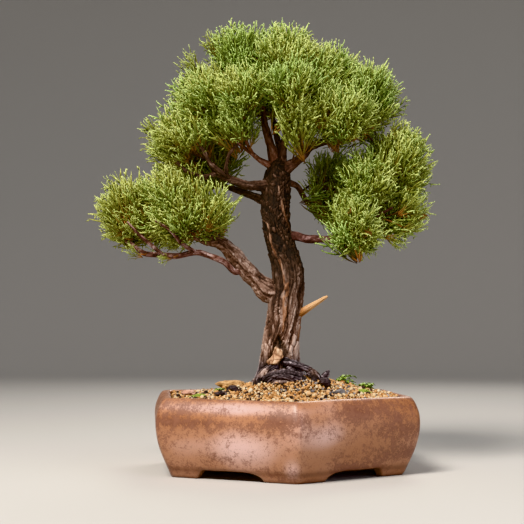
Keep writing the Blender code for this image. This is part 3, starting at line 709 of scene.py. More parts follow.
# %% Scatter the grains
GRIT_STEP = 2.25 * MM
GRAIN_KINDS = {
    "fired_clay": ("soil", [(0.0, "#7d502d"), (0.35, "#ab7e4f"), (0.7, "#c89c6b"), (1.0, "#dab98f")]),
    "pumice": ("soil", [(0.0, "#a68a66"), (0.4, "#cab18a"), (0.8, "#e0cfb0"), (1.0, "#ece2cd")]),
    "lava": ("lava_stone", [(0.0, "#1f1613"), (0.4, "#33241f"), (0.8, "#4c362e"), (1.0, "#6a4a3c")]),
    "chippings": ("grey_stone", [(0.0, "#4b474a"), (0.4, "#6d696c"), (0.8, "#8e8a8b"), (1.0, "#a9a4a2")]),
}
CLAY, PUMICE, LAVA, CHIPPINGS = range(4)
LAVA_SHARE = 0.17
LAVA_SPOT = (-52, -35, 22, 35)  # x and y from the pot's axis, and reach across and in depth, in mm
CHIPPINGS_SPOT = (50, -45, 35, 30)


def spot(x, y, oval):
    """1 in the middle of an oval place on the bed, fading to 0 round it."""
    across, depth, wide, deep = np.array(oval) * MM
    return np.exp(-(((x - AXIS[0] - across) / wide) ** 2 + ((y - AXIS[1] - depth) / deep) ** 2))


rng = np.random.default_rng(11)
shapes = [broken_stone(rng, 1) for _ in range(12)]
wall_inside = FOOT_CORNER + LIP_REACH - WALL + 2.0 * MM

grid = np.arange(-130 * MM, 130 * MM, GRIT_STEP)
gx, gy = (part.ravel() for part in np.meshgrid(grid, grid))
gx = AXIS[0] + gx + rng.uniform(-0.5, 0.5, len(gx)) * GRIT_STEP
gy = AXIS[1] + gy + rng.uniform(-0.5, 0.5, len(gy)) * GRIT_STEP
away_from_trunk = np.hypot(gx - AXIS[0], gy - AXIS[1])
kept = (inside_pot(gx, gy, wall_inside) > 1.2 * MM) & (away_from_trunk > 16 * MM)
gx, gy = gx[kept], gy[kept]
size = rng.lognormal(math.log(1.45), 0.33, len(gx)).clip(0.75, 3.3) * MM
lift = rng.uniform(0.1, 0.75, len(gx)) * size
gz = soil_height(gx, gy) + lift
dark_spot = spot(gx, gy, LAVA_SPOT)
grey_spot = spot(gx, gy, CHIPPINGS_SPOT)
size = size * (1 + 0.75 * dark_spot * (rng.uniform(size=len(gx)) < 0.35))
draw = rng.uniform(size=len(gx)) - 0.32 * dark_spot
chance = rng.uniform(size=len(gx))
kind = np.where(draw < LAVA_SHARE, LAVA, np.where(chance < 0.04 + 0.16 * grey_spot, CHIPPINGS, CLAY))
kind = np.where((kind == CLAY) & (rng.uniform(size=len(gx)) < 0.34), PUMICE, kind)
print("grains in all:", len(kind), "of which each kind:", np.bincount(kind))


# %% [markdown]
# All the grains of one kind become one mesh at once: every grain picks a shape, a turn and a stretch, and
# numpy multiplies them out together. Making thousands of objects instead would be slow and heavy.

# %% Grains as one mesh
def grains_shell(x, y, z, size, rng):
    """All the grains of one kind as one shell set: turned, stretched copies of the shapes."""
    turns = random_turns(rng, len(x))
    stretch = np.stack([np.ones(len(x)), rng.uniform(0.62, 0.95, len(x)), rng.uniform(0.5, 0.85, len(x))], 1)
    pick = rng.integers(0, len(shapes), len(x))
    tone = rng.beta(2.2, 2.2, len(x)) * 0.9 + 0.05
    forms = np.stack([shape[0] for shape in shapes])[pick]
    points = np.einsum("nij,nkj->nki", turns, forms * (stretch * size[:, None])[:, None])
    points += np.stack([x, y, z], 1)[:, None]
    faces = shapes[0][1]
    each = points.shape[1]
    all_faces = (faces[None] + (np.arange(len(x)) * each)[:, None, None]).reshape(-1, 3)
    shade = forms[:, :, 2] * 0.3 + 0.5
    u = (tone[:, None] + 0.03 * forms[:, :, 0]).clip(0, 1)
    places = np.stack([u, shade.clip(0, 1)], -1)[:, faces].reshape(-1, 3, 2)
    return {"points": points.reshape(-1, 3), "faces": [all_faces], "map": [places]}


# %% [markdown]
# Fired clay and pumice are dull and dusty, with a roughness near 1. Wet lava and stone are a little
# smoother. The colour comes from a grain's place on the colour map: across it by kind and tone, up it a
# little darker or lighter.

# %% Grit finishes
def grain_material(name, stops, roughness):
    """A dusty grit whose colour is read across the colour map, and its shade up it."""
    material, tree, shader = start_material(name, {"Roughness": roughness, "IOR": 1.5})
    split = add(tree, "SeparateXYZ", {0: add(tree, "UVMap", uv_map=COLOUR_MAP).outputs[0]})
    tone = add(tree, "ValToRGB", {"Fac": split.outputs["X"]}, stops=stops)
    shade = add(tree, "MapRange", {"Value": split.outputs["Y"], "To Min": 0.80, "To Max": 1.15})
    dusty = add(tree, "HueSaturation", {"Color": tone.outputs[0], "Value": shade.outputs[0]})
    tree.links.new(dusty.outputs[0], shader.inputs["Base Color"])
    return material


for number, (name, (slot, stops)) in enumerate(GRAIN_KINDS.items()):
    chosen = kind == number
    shell = grains_shell(gx[chosen], gy[chosen], gz[chosen], size[chosen], rng)
    grit = grain_material(name + "_grit", stops, 0.9)
    add_piece(f"grit_{name}", make_mesh(f"grit_{name}", [shell]), grit, slot)

# %% [markdown]
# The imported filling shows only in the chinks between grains, so its finish is the same grit in the dark:
# lumps of 3 mm as cells, with the gaps between them pressed in by bump.

# %% The bed under the grains
soil_bed, tree, shader = start_material("packed_grit", {"Roughness": 0.95, "IOR": 1.5})
place = add(tree, "TexCoord").outputs["Object"]
lumps = add(tree, "TexVoronoi", {"Vector": place, "Scale": 1 / (3 * MM)})
tone = add(
    tree, "ValToRGB", {"Fac": lumps.outputs["Color"]},
    stops=[(0.1, "#33241a"), (0.4, "#7b552f"), (0.7, "#a67a45"), (1.0, "#c09b68")],
)
tree.links.new(tone.outputs[0], shader.inputs["Base Color"])
crumbs = add(tree, "Bump", {"Height": lumps.outputs["Distance"], "Strength": 0.8, "Distance": 1.0 * MM})
tree.links.new(crumbs.outputs[0], shader.inputs["Normal"])
refinish("soil", soil_bed)

# %% [markdown]
# ## Wood
# Each limb is a tube round a smooth route. Its surface is a grid of points, fine enough to hold the bark:
# about half a millimetre round the trunk. Juniper bark is stringy. It splits along the trunk into fibrous
# strips with dark furrows between them, and higher up, where it is older and undisturbed, it lifts in rough
# dark flakes. Pushing the grid points in and out makes real furrows, and the same numbers tell the material
# what is ridge and what is furrow.

# %% Routes of the wood
# Each station: x, y and z from the pot's axis and the radius, in mm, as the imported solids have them.
TRUNK = [
    (0, 0, 72, 27), (-1, 0, 82, 24.5), (-2, 0, 92, 22), (-2, 0, 100, 20), (-2, 0, 109, 18.5),
    (-1, -1, 127, 17.2), (2, -2, 147, 16.5), (4, -3, 164, 16.5), (7, -3, 183, 15.8), (6, -2, 203, 15.5),
    (-1, 0, 227, 13.7), (-5, 0, 248, 13.5), (-5, 0, 274, 14), (-4, 0, 290, 13), (-3, 0, 303, 9.5),
    (-3, 0, 309, 4),
]
ROOT_FLARES = [  # bearing in radians, reach in mm, half-width in radians
    (0.0, 20, 0.26), (0.85, 10, 0.30), (1.75, 14, 0.30), (2.55, 9, 0.30), (3.35, 6, 0.26), (4.20, 5, 0.30),
    (4.90, 8, 0.34), (5.55, 9, 0.26),
]
ROOT_TOP = 102 * MM
ROOT_FULL = 80 * MM
BRANCHES = {
    "branch_lower_left": [
        (3, -2, 170, 9), (-12.5, -3, 175.7, 9), (-25.4, -5, 186.7, 8.6), (-39.3, -8, 201.5, 8.2),
        (-49.2, -10, 213.3, 7.4), (-60.1, -12, 223.1, 6.2), (-74, -12, 226.1, 5.2), (-88, -12, 231, 4),
    ],
    "branch_lower_left_under": [
        (-38, -7, 199, 3), (-46.2, -13, 194.4, 3), (-57, -18, 204.1, 2.9), (-70.6, -22, 209.7, 2.8),
        (-84.2, -25, 213, 2.8), (-102.8, -25, 209.5, 2.8), (-116.8, -22, 210.7, 2.6),
        (-134.9, -18, 212.3, 2.4), (-146.2, -14, 220, 2), (-160, -8, 230, 1.5),
    ],
    "branch_lower_left_back": [
        (-60.1, -12, 223.1, 3.4), (-72, 10, 228, 3.4), (-90, 32, 231, 2.8), (-112, 46, 233, 2),
    ],
    "branch_mid_left": [
        (0, 0, 280, 6), (-22.4, -5, 280.7, 5.2), (-36.4, -10, 281.2, 4.4), (-49.3, -12, 285.9, 3.6),
        (-58.2, -12, 288.9, 3.3), (-66.2, -12, 294.9, 2.9), (-74.5, -10, 308, 2.2),
    ],
    "branch_back_left": [
        (-4, 0, 260, 4.8), (-20, 24, 270, 4.4), (-42, 38, 280, 3.6), (-66, 46, 288, 2.8),
        (-86, 48, 293, 2),
    ],
    "branch_inner_left": [
        (-4, 0, 298.5, 3.2), (-20, -4, 306, 2.6), (-28, -11, 311.5, 2),
    ],
    "leader_left": [
        (-5, 0, 292, 5.2), (-9, 0, 315.6, 4.6), (-11.4, 2, 325, 4.2), (-14.4, 4, 335.5, 3.8),
        (-17.4, 6, 349, 3.4), (-18.4, 8, 368, 2.6),
    ],
    "branch_upper_left": [
        (-18.4, 8, 364, 2.2), (-31, 4, 373, 2), (-43, 0, 377, 1.8), (-50, -3, 383, 1.3),
    ],
    "leader_middle": [
        (0, 0, 293, 4.8), (1, -1, 317.4, 4.2), (4.6, -4, 330, 3.7), (6, -6, 348, 3.1), (5, -8, 368, 2.4),
    ],
    "leader_back": [
        (-1, 4, 290, 4.2), (2, 20, 306, 3.8), (-2, 38, 328, 3.2), (-7, 52, 352, 2.6), (-9, 58, 368, 2),
    ],
    "branch_upper_right": [
        (-1, 0, 296, 4.4), (12, -4, 303.5, 4.2), (21.4, -10, 310.2, 4), (28.3, -14, 318.7, 3.8),
        (42, -18, 323.1, 3.4), (50.8, -20, 324.8, 3.1), (67.5, -22, 328.5, 2.6), (80.4, -22, 336, 2),
    ],
    "branch_right": [
        (0, 0, 231, 3.6), (13.5, -4, 230.7, 3.6), (25.4, -8, 227.4, 3.7), (37.1, -12, 227.1, 3.6),
        (49.8, -16, 225.9, 3.4), (57.6, -18, 225.7, 3.5), (72.3, -20, 230.5, 3.2),
        (84.1, -20, 240.4, 2.8), (88.5, -19, 252, 2.2),
    ],
    "branch_right_side": [
        (86, -20, 244, 2), (98, -14, 260, 1.8), (109, -10, 268, 1.3),
    ],
    "branch_back_right": [
        (0, 2, 286, 3), (15.6, 14, 283, 2.9), (25, 22, 270, 2.8), (42, 34, 252, 2.6), (62, 46, 240, 2.3),
        (88, 52, 240, 1.8),
    ],
}


# %% [markdown]
# A tube needs two directions square to its route at every ring. They are carried along from ring to ring
# without twisting. The grid's columns run round the limb and its rows along it, which also makes a neat
# colour map.

# %% Tubes
def directions(centres):
    """At each point of a route: ahead, and two directions square to it, carried along without twist."""
    ahead = np.gradient(centres, axis=0)
    ahead /= np.linalg.norm(ahead, axis=1, keepdims=True)
    across = np.zeros_like(ahead)
    last = np.cross(ahead[0], (0.31, 0.93, 0.17))
    for i, way in enumerate(ahead):
        last = last - way * last.dot(way)
        last /= np.linalg.norm(last)
        across[i] = last
    return ahead, across, np.cross(ahead, across)


def grid_shell(points, values, corner=(0.0, 0.0), share=(1.0, 1.0)):
    """A closed tube from a (rows, sides, 3) grid of points. corner and share place it on the colour map."""
    rows, sides = points.shape[:2]
    i, j, quads = ring_quads(rows, sides)
    row = np.stack([i, i, i + 1, i + 1], -1) / (rows - 1) * 0.96 + 0.02
    column = np.stack([j, j + 1, j + 1, j], -1) / sides
    k = np.arange(sides)
    ends, end_places = [], []
    for start, middle, flip in ((0, rows * sides, True), ((rows - 1) * sides, rows * sides + 1, False)):
        fan = np.stack([start + k, start + (k + 1) % sides, np.full(sides, middle)], 1)
        low = 0.02 if flip else 0.98
        tip = 0.0 if flip else 1.0
        fan_places = np.stack([
            np.stack([k / sides, (k + 1) / sides, (k + 0.5) / sides], 1),
            np.stack([np.full(sides, low), np.full(sides, low), np.full(sides, tip)], 1),
        ], -1)
        ends.append(fan[:, ::-1] if flip else fan)
        end_places.append(fan_places[:, ::-1] if flip else fan_places)
    places = [np.stack([column, row], -1).reshape(-1, 4, 2), np.concatenate(end_places)]
    places = [np.array(corner) + part * share for part in places]
    flat = np.concatenate([points.reshape(-1, 3), points[0].mean(0)[None], points[-1].mean(0)[None]])
    held = {}
    for name, value in values.items():
        held[name] = np.concatenate([value.ravel(), [value[0].mean()], [value[-1].mean()]])
    faces = [quads, np.concatenate(ends)]
    return {"points": flat, "faces": faces, "map": places, "values": held}


# %% [markdown]
# The bark itself. Strips: noise stretched along the limb, whose middle value draws long wandering furrows.
# Finer fibres ride on them. Flakes: plates a few millimetres wide, each lifted at one end so that its edge
# catches light. The twist makes the strips wind slowly round the trunk, as they do on old junipers.

# %% Bark relief
def bark(turn, along, radius, seed, flaky, strip=4.6 * MM, depth=1.5 * MM, twist=3.0):
    """Push outward in metres and ridge value from 0 (furrow) to 1 (crest) for each point of a limb's grid."""
    wander = 1.1 * (noise3(xyz(np.cos(turn), np.sin(turn), along / (20 * MM)), seed) - 0.5)
    bearing = turn + twist * along + wander * np.minimum(1.0, 8 * MM / radius)
    x, y = np.cos(bearing) * radius, np.sin(bearing) * radius

    def strips(width, length, number):
        level = noise3(xyz(x / width, y / width, along / length), seed + number)
        return step_up(np.abs(level - 0.5), 0.012, 0.17)

    def shingles(width, length, number):
        bent = xyz(x / width, y / width, along / length)
        bend = noise3(xyz(x, y, along) / (5 * MM), seed + number + 7)
        bent = bent + (bend[..., None] - 0.5) * (0.9, 0.9, 1.3)
        crack, own, offset = plates3(bent, seed + number)
        lifted = 0.28 + 0.66 * own + (own - 0.2) * offset[..., 2]
        return step_up(crack, 0.0, 0.17) * lifted.clip(0, 1.1)

    broad = strips(strip, strip * 7, 1)
    fibre = noise3(xyz(x / (0.8 * MM), y / (0.8 * MM), along / (6 * MM)), seed + 3)
    stringy = 0.34 * broad + 0.46 * shingles(strip * 0.62, strip * 3.4, 30) + 0.24 * fibre
    flakes = 0.16 * broad + 0.62 * shingles(3.1 * MM, 5.4 * MM, 40) + 0.26 * fibre
    ridge = stringy * (1 - flaky) + flakes * flaky
    return (ridge - 0.45) * depth * 2, ridge.clip(0, 1)


# %% [markdown]
# ## The trunk
# The trunk's grid stands on level rings, which keeps bearings simple. Near the soil it swells into root
# flares: each is a bump at its own bearing that grows downward. Two slow flutes keep the trunk from being
# round.

# %% The trunk's grid
TRUNK_SIDES = 230
TRUNK_STEP = 0.75 * MM
along, route = smooth_stations(TRUNK, TRUNK_STEP)
centres = route[:, :3] + AXIS
radius = route[:, 3][:, None]
height = centres[:, 2][:, None]
turn = np.linspace(0, 2 * math.pi, TRUNK_SIDES, endpoint=False)[None]
flare = np.clip((ROOT_TOP - height) / (ROOT_TOP - ROOT_FULL), 0, 1)
flute = 1 + 0.05 * np.sin(3 * turn + 22 * height) + 0.03 * np.sin(5 * turn - 31 * height)
reach = radius * flute
for heading, length, width in ROOT_FLARES:
    apart = (turn - heading + math.pi) % (2 * math.pi) - math.pi
    reach = reach + length * MM * flare**1.9 * np.exp(-((apart / width) ** 2))
print("the trunk stands on", len(centres), "rings")

# %% [markdown]
# Living bark shows where the old bark has torn away: a smooth light strip that starts at a torn tip high on
# the left and runs down the front, a second one near the right edge, and an orange patch low on the right.
# Each is a list of places from the top down, and the mask fades at its torn edges.

# %% Strips of living bark
# Each place: height in mm, bearing in degrees and half-width in mm.
LIGHT_STRIPS = [
    [(247, -168, 0.6), (243, -140, 1.6), (236, -128, 1.9), (222, -142, 1.5), (207, -120, 1.8),
     (195, -106, 2.6), (180, -98, 3.0), (165, -93, 2.8), (150, -88, 2.0), (135, -86, 0.8)],
    [(280, -84, 0.5), (272, -76, 1.2), (258, -64, 1.4), (245, -45, 1.4), (236, -22, 1.0), (228, -8, 0.4)],
    [(152, -14, 0.6), (146, -18, 2.4), (137, -20, 2.0), (126, -24, 0.6)],
]


def strip_mask(table, height, turn, radius):
    """1 on a strip that runs down the trunk, with soft torn edges."""
    level, bearing, half = np.array(table)[::-1].T * ((MM,), (1,), (MM,))
    bearing = np.radians(np.interp(height, level, bearing))
    half = np.interp(height, level, half) * (height > level[0]) * (height < level[-1])
    apart = np.abs((turn - bearing + math.pi) % (2 * math.pi) - math.pi) * radius
    return step_up(half - apart, -0.5 * MM, 0.6 * MM) * (half > 0)


light = sum(strip_mask(table, height, turn, radius) for table in LIGHT_STRIPS[:2]).clip(0, 1)
light = light * step_up(noise3(xyz(np.cos(turn) * 6, np.sin(turn) * 6, height / (6 * MM)), 43), 0.22, 0.5)
orange = strip_mask(LIGHT_STRIPS[2], height, turn, radius)
flaky = step_up(height, 176 * MM, 222 * MM) * (1 - light) * np.ones_like(turn)
print("living bark covers", round(float(light.mean()) * 100, 1), "% of the trunk")


# %% [markdown]
# At the foot a knot of bare tan wood stands in a hollow, with an undercut over the burl; the hollow and
# undercut are dented in and painted dark as shade. They are outlines as seen from the front, and a ragged
# noise keeps their edges from looking cut with scissors.

# %% Bare wood and the hollow
def inside_outline(x, z, outline, blur):
    """1 inside a closed outline of (x, z) corners going clockwise, 0 outside, soft over blur metres."""
    ends = np.array(outline) * MM
    worst = np.full(np.broadcast(x, z).shape, np.inf)
    for (x0, z0), (x1, z1) in zip(ends, np.roll(ends, -1, axis=0)):
        length = math.hypot(x1 - x0, z1 - z0)
        inward = ((x - x0) * (z1 - z0) - (z - z0) * (x1 - x0)) / length
        worst = np.minimum(worst, inward)
    return step_up(worst, -blur, blur)


# Outlines in mm: across from the pot's axis, and height.
BARE_UPPER = [(-8, 115), (-6, 120.6), (0.3, 117.2), (2.3, 110.2), (-4.1, 103.6), (-10, 107.5)]
BARE_LOWER = [(-15, 106), (-9, 112.2), (-3, 110), (-4.1, 103.6), (-13.1, 102.6)]
HOLLOW = [(-14, 106), (-4.5, 131), (-2, 131), (8, 113), (4, 101), (-4, 100)]
UNDERCUT = [(-20, 99), (-12, 103.5), (10, 104), (15, 98), (-2, 96)]
side_x = np.cos(turn) * reach + centres[:, 0][:, None] - AXIS[0]
front = step_up(-np.sin(turn), 0.05, 0.35)
ragged = (noise3(xyz(side_x / (4 * MM), height / (6 * MM), 0.0), 41) - 0.5) * 2.2 * MM
bare = np.maximum(
    inside_outline(side_x + ragged, height, BARE_UPPER, 0.7 * MM),
    inside_outline(side_x + ragged, height, BARE_LOWER, 0.7 * MM),
) * front
hollow = np.maximum(
    inside_outline(side_x + 0.5 * ragged, height, HOLLOW, 1.6 * MM),
    inside_outline(side_x + 0.5 * ragged, height, UNDERCUT, 1.2 * MM),
) * front * (1 - bare)
print("bare wood:", int((bare > 0.5).sum()), "grid points, hollow:", int((hollow > 0.5).sum()))

# %% [markdown]
# Now everything is pushed in or out of the grid together: bark, the smoother strips, the splintered facets
# and cracks of the bare wood, and the hollow nearly four millimetres deep. The same masks go along for the
# material.

# %% The trunk's relief
push, ridge = bark(turn, height, radius, 7, flaky, depth=1.5 * MM)
smooth_push = 0.9 * MM + 0.25 * push
push = push * (1 - light) + smooth_push * light
facets = noise3(xyz(side_x / (3.2 * MM), height / (4.5 * MM), 0.0), 47)
splinters = noise3(xyz(side_x / (1.3 * MM), height / (4 * MM), 0.0), 48)
push = push * (1 - bare) + (1.2 * MM + 1.8 * MM * facets + 0.9 * MM * splinters) * bare - 3.8 * MM * hollow
gap = plates3(xyz(side_x / (5.8 * MM), height / (8.5 * MM), 0.0), 49)[0]
crack = 0.45 + 0.55 * step_up(gap, 0.0, 0.12)
push = push - 1.3 * MM * (1 - crack) * bare
ridge = ridge * (1 - bare) + (0.20 + 0.40 * facets + 0.40 * splinters) * crack * bare
below = step_up(height, 80 * MM, 100 * MM)
reach = reach + push * (0.4 + 0.6 * below)
outward = xyz(np.cos(turn), np.sin(turn), 0.0)
points = centres[:, None] + outward * reach[..., None]
# Painted shade: the trunk darkens upward, where the crown would shade it, and in the hollow and undercut.
gloom = (0.14 + 0.86 * step_up(height, 125 * MM, 215 * MM)) * (1 - 0.7 * light) * below + 0.75 * hollow
grey = step_up(-height, -118 * MM, -98 * MM) * (1 - bare)
trunk_values = {
    "ridge": ridge, "light": np.maximum(light, orange) + 0 * ridge, "gloom": gloom.clip(0, 1) + 0 * ridge,
    "bare": bare + 0 * ridge, "grey": grey + 0 * ridge, "rosy": 0 * ridge,
}
trunk_shell = grid_shell(points, trunk_values, share=(1.0, 0.74))
print("trunk grid:", points.shape[:2], "deepest furrow", round(float(push.min()) / MM, 2), "mm")


# %% [markdown]
# Roots and branches share one function. A limb's radius swells into a collar where it leaves the wood that
# it grew from, so the two flow together instead of meeting like pipes. Old limbs are flaky on top and
# pinkish, with an orange-brown underside; young ones are smooth and reddish with a few grey joints.

# %% Limbs
def limb(stations, seed, look, corner=(0, 0), share=(1, 1), step=0.8 * MM, side=0.62 * MM, pointed=False):
    """A bark-covered tube. look: how flaky, rosy, grey and light, how much painted shade, and its bark's sizes
    in mm.
    """
    along, route = smooth_stations(stations, step)
    centres = route[:, :3] + AXIS
    ahead, across, other = directions(centres)
    sides = max(14, round(2 * math.pi * route[:, 3].max() / side))
    turn = np.linspace(0, 2 * math.pi, sides, endpoint=False)[None]
    radius = route[:, 3][:, None]
    distance = along[:, None]
    flaky = look.get("flaky", 0.3) * np.ones((len(along), sides))
    strip = look.get("strip", 3.0) * MM
    depth = look.get("depth", 0.6) * MM
    push, ridge = bark(turn, distance, radius, seed, flaky, strip=strip, depth=depth, twist=5)
    knots = noise3(xyz(distance / (11 * MM), 0.0, 0.0), seed + 5) - 0.5
    reach = radius * (1 + 0.22 * knots)
    if "collar" in look:
        reach = reach * (1 + 0.55 * np.exp(-((distance / (look["collar"] * MM)) ** 2) * 1.2))
    if pointed:
        reach = reach * step_up(along[-1] - distance, -0.5 * MM, 5 * MM) ** 0.5
    reach = reach + push
    way = across[:, None] * np.cos(turn)[..., None] + other[:, None] * np.sin(turn)[..., None]
    points = centres[:, None] + way * reach[..., None]
    under = step_up(-way[..., 2], 0.0, 0.8)
    patches = noise3(points / (12 * MM), seed + 9)
    # The painted shade value darkens limbs inside the crown, as the crown's shade would.
    values = {
        "ridge": ridge,
        "light": (look.get("light", 0.0) * under * step_up(patches, 0.3, 0.6)).clip(0, 1),
        "gloom": look.get("gloom", 0.0) * (0.75 + 0.5 * patches).clip(0, 1) + 0 * ridge,
        "bare": 0 * ridge,
        "grey": (look.get("grey", 0.0) * step_up(patches, -0.1, 0.34)) + 0 * ridge,
        "rosy": look.get("rosy", 0.0) + 0 * ridge,
    }
    return grid_shell(points, values, corner, share)


# %% [markdown]
# The surface roots at the front: one leaves to the left and dives into the grit, a thick burl lies across
# the foot like a knuckle, one runs out to the right and forks, and a thin pale one lies in front of them.

# %% Surface roots
OLD_ROOT = {"flaky": 0.45, "grey": 1.0, "gloom": 0.15, "depth": 1.5, "strip": 2.8}
ROOTS = [
    # One that leaves to the left and dives into the grit.
    ([(-6, -12, 101, 5.6), (-15, -16, 96, 5), (-21, -20, 90, 4.4), (-24, -22, 84, 3.7), (-25, -23, 76, 3)],
     {**OLD_ROOT, "gloom": 0.0}),
    # The burl across the foot.
    ([(-18, -16, 83, 3.6), (-13, -23, 89, 4.6), (-2, -27, 92, 5.8), (9, -27, 91, 6), (17, -22, 87, 5),
      (23, -18, 79, 3.6)], {**OLD_ROOT, "depth": 2.2, "strip": 3.4}),
    # The long one to the right, with its fork, and a shorter one below it.
    ([(0, -12, 106.5, 4), (10, -18, 104, 3.6), (19.6, -21, 101, 3.3), (29, -22, 97, 3), (35, -23, 92.5, 2.8),
      (40, -24, 83, 2.2)], {**OLD_ROOT, "gloom": 0.0, "depth": 1.0}),
    ([(27, -20, 96.5, 3.4), (31.5, -25, 90.5, 3), (33, -28, 82, 2.2)], OLD_ROOT),
    ([(6, -18, 99, 3.2), (14, -23, 94, 2.8), (22, -26, 88.5, 2.4), (29, -29, 81.5, 1.8)], OLD_ROOT),
    # A thin pale one in front, a stub that sticks up on the right, and one at the back left.
    ([(-14, -28, 85, 1.4), (-6, -33, 86.2, 1.7), (3, -34, 86.8, 1.6), (11, -31, 86, 1.1)],
     {"light": 0.5, "grey": 0.7, "gloom": 0.2, "depth": 0.4, "strip": 1.6}),
    ([(38, -19, 86, 2.8), (42, -20, 92, 3), (46.5, -20, 97.5, 1.6)], {**OLD_ROOT, "gloom": 0.1}),
    ([(-14, 4, 94, 4.6), (-25, 6, 86, 3.8), (-34, 8, 77, 2.6)], OLD_ROOT),
]
POINTED_ROOTS = (5, 6)
wood_shells = [trunk_shell]
for number, (stations, look) in enumerate(ROOTS):
    wood_shells.append(limb(
        stations, 200 + 11 * number, look, corner=(0.125 * number, 0.75), share=(0.12, 0.25),
        step=0.6 * MM, side=0.55 * MM, pointed=number in POINTED_ROOTS,
    ))
print("trunk and", len(ROOTS), "surface roots:", sum(len(shell["points"]) for shell in wood_shells), "points")

# %% [markdown]
# Bark's colour follows its relief: the furrows are nearly black-brown and the crests weather to a pinkish
# grey-tan. The light strips show orange-brown living bark, the roots are greyer from damp, and bare wood is
# the colour of dry timber. A near-black ramp paints shade where the crown would shade the wood: up the
# trunk, in the hollow and on the limbs inside the crown. Bark is dull, with a roughness near 0.85. A fine
# noise breaks each colour up at about a millimetre.

# %% Juniper bark
juniper_bark, tree, shader = start_material("weathered_juniper_bark", {"IOR": 1.45, "Roughness": 0.86})
place = add(tree, "TexCoord").outputs["Object"]
mask = {
    name: add(tree, "Attribute", attribute_name=name).outputs["Fac"]
    for name in ("ridge", "light", "gloom", "bare", "grey", "rosy")
}
grime = add(tree, "TexNoise", {"Vector": place, "Scale": 1 / (2.6 * MM), "Detail": 4.0, "Roughness": 0.65})
level = add(tree, "Math", {0: grime.outputs["Fac"], 1: 0.55, 2: mask["ridge"]}, operation="MULTIPLY_ADD")
level = add(tree, "Math", {0: level.outputs[0], 1: 0.275}, operation="SUBTRACT")
COLOURS = {
    "brown": [(0.10, "#1a100c"), (0.34, "#50382d"), (0.58, "#8d7062"), (0.86, "#c6afa3")],
    "light": [(0.08, "#2c1a11"), (0.38, "#6b4732"), (0.65, "#977058"), (0.92, "#bd9c84")],
    "rosy": [(0.08, "#2c150e"), (0.38, "#6a3524"), (0.65, "#965540"), (0.92, "#b98a78")],
    "grey": [(0.16, "#0a0808"), (0.46, "#2a2426"), (0.72, "#5d5257"), (0.97, "#ada2a7")],
    "gloom": [(0.15, "#0b0705"), (0.45, "#22170f"), (0.72, "#3f2d23"), (0.95, "#665146")],
    "bare": [(0.05, "#54392a"), (0.35, "#98735a"), (0.65, "#c4a284"), (0.92, "#e9d5bb")],
}
colour = None
for name, stops in COLOURS.items():
    ramp = add(tree, "ValToRGB", {"Fac": level.outputs[0]}, stops=stops).outputs[0]
    if colour is None:
        colour = ramp
    else:
        colour = add(tree, "Mix", {0: mask[name], 6: colour, 7: ramp}, data_type="RGBA").outputs[2]
tree.links.new(colour, shader.inputs["Base Color"])
fine_bark = add(tree, "Bump", {"Height": grime.outputs["Fac"], "Strength": 0.5, "Distance": 0.4 * MM})
tree.links.new(fine_bark.outputs[0], shader.inputs["Normal"])
add_piece("trunk_and_roots", make_mesh("trunk_and_roots", wood_shells), juniper_bark, "bark", "trunk")

# %% [markdown]
# ## Branches
# Each branch's look follows its age and light. The lower left one is old wood, nearly as rough as the
# trunk. Those inside the crown are painted dark as the crown's shade, and the young ones low down are
# reddish and smooth, with a few grey joints.

# %% How each branch looks
LOOKS = {  # collar in mm, and the others as limb() reads them
    "branch_lower_left": {
        "flaky": 0.45, "light": 0.5, "gloom": 0.30, "depth": 1.3, "strip": 4.0, "collar": 21,
    },
    "branch_lower_left_under": {
        "rosy": 0.5, "grey": 0.5, "flaky": 0.1, "depth": 0.3, "strip": 2.2, "collar": 6,
    },
    "branch_lower_left_back": {"rosy": 0.5, "depth": 0.45, "collar": 6},
    "branch_mid_left": {"gloom": 0.82, "rosy": 0.15, "depth": 0.85, "flaky": 0.5, "collar": 18},
    "branch_back_left": {"gloom": 0.7, "depth": 0.7, "flaky": 0.5, "collar": 18},
    "branch_inner_left": {"rosy": 0.55, "gloom": 0.35, "depth": 0.4, "collar": 12},
    "leader_left": {"gloom": 0.55, "rosy": 0.5, "depth": 0.6, "collar": 14},
    "branch_upper_left": {"gloom": 0.6, "rosy": 0.4, "depth": 0.4, "collar": 4},
    "leader_middle": {"gloom": 0.8, "rosy": 0.3, "depth": 0.6, "collar": 14},
    "leader_back": {"gloom": 0.7, "rosy": 0.3, "depth": 0.6, "collar": 14},
    "branch_upper_right": {"gloom": 0.75, "rosy": 0.4, "depth": 0.65, "flaky": 0.5, "collar": 16},
    "branch_right": {
        "rosy": 0.9, "grey": 0.7, "gloom": 0.1, "depth": 0.4, "strip": 2.2, "flaky": 0.2, "collar": 20,
    },
    "branch_right_side": {"rosy": 0.8, "depth": 0.3, "collar": 4},
    "branch_back_right": {"gloom": 0.7, "rosy": 0.4, "depth": 0.4, "collar": 16},
}
print(len(LOOKS), "branches and leaders")

# %% [markdown]
# Some branches fork into side twigs that can be seen through the gaps under the foliage. They are tubes
# like the branch, with the same look, and they take the upper strip of its colour map.

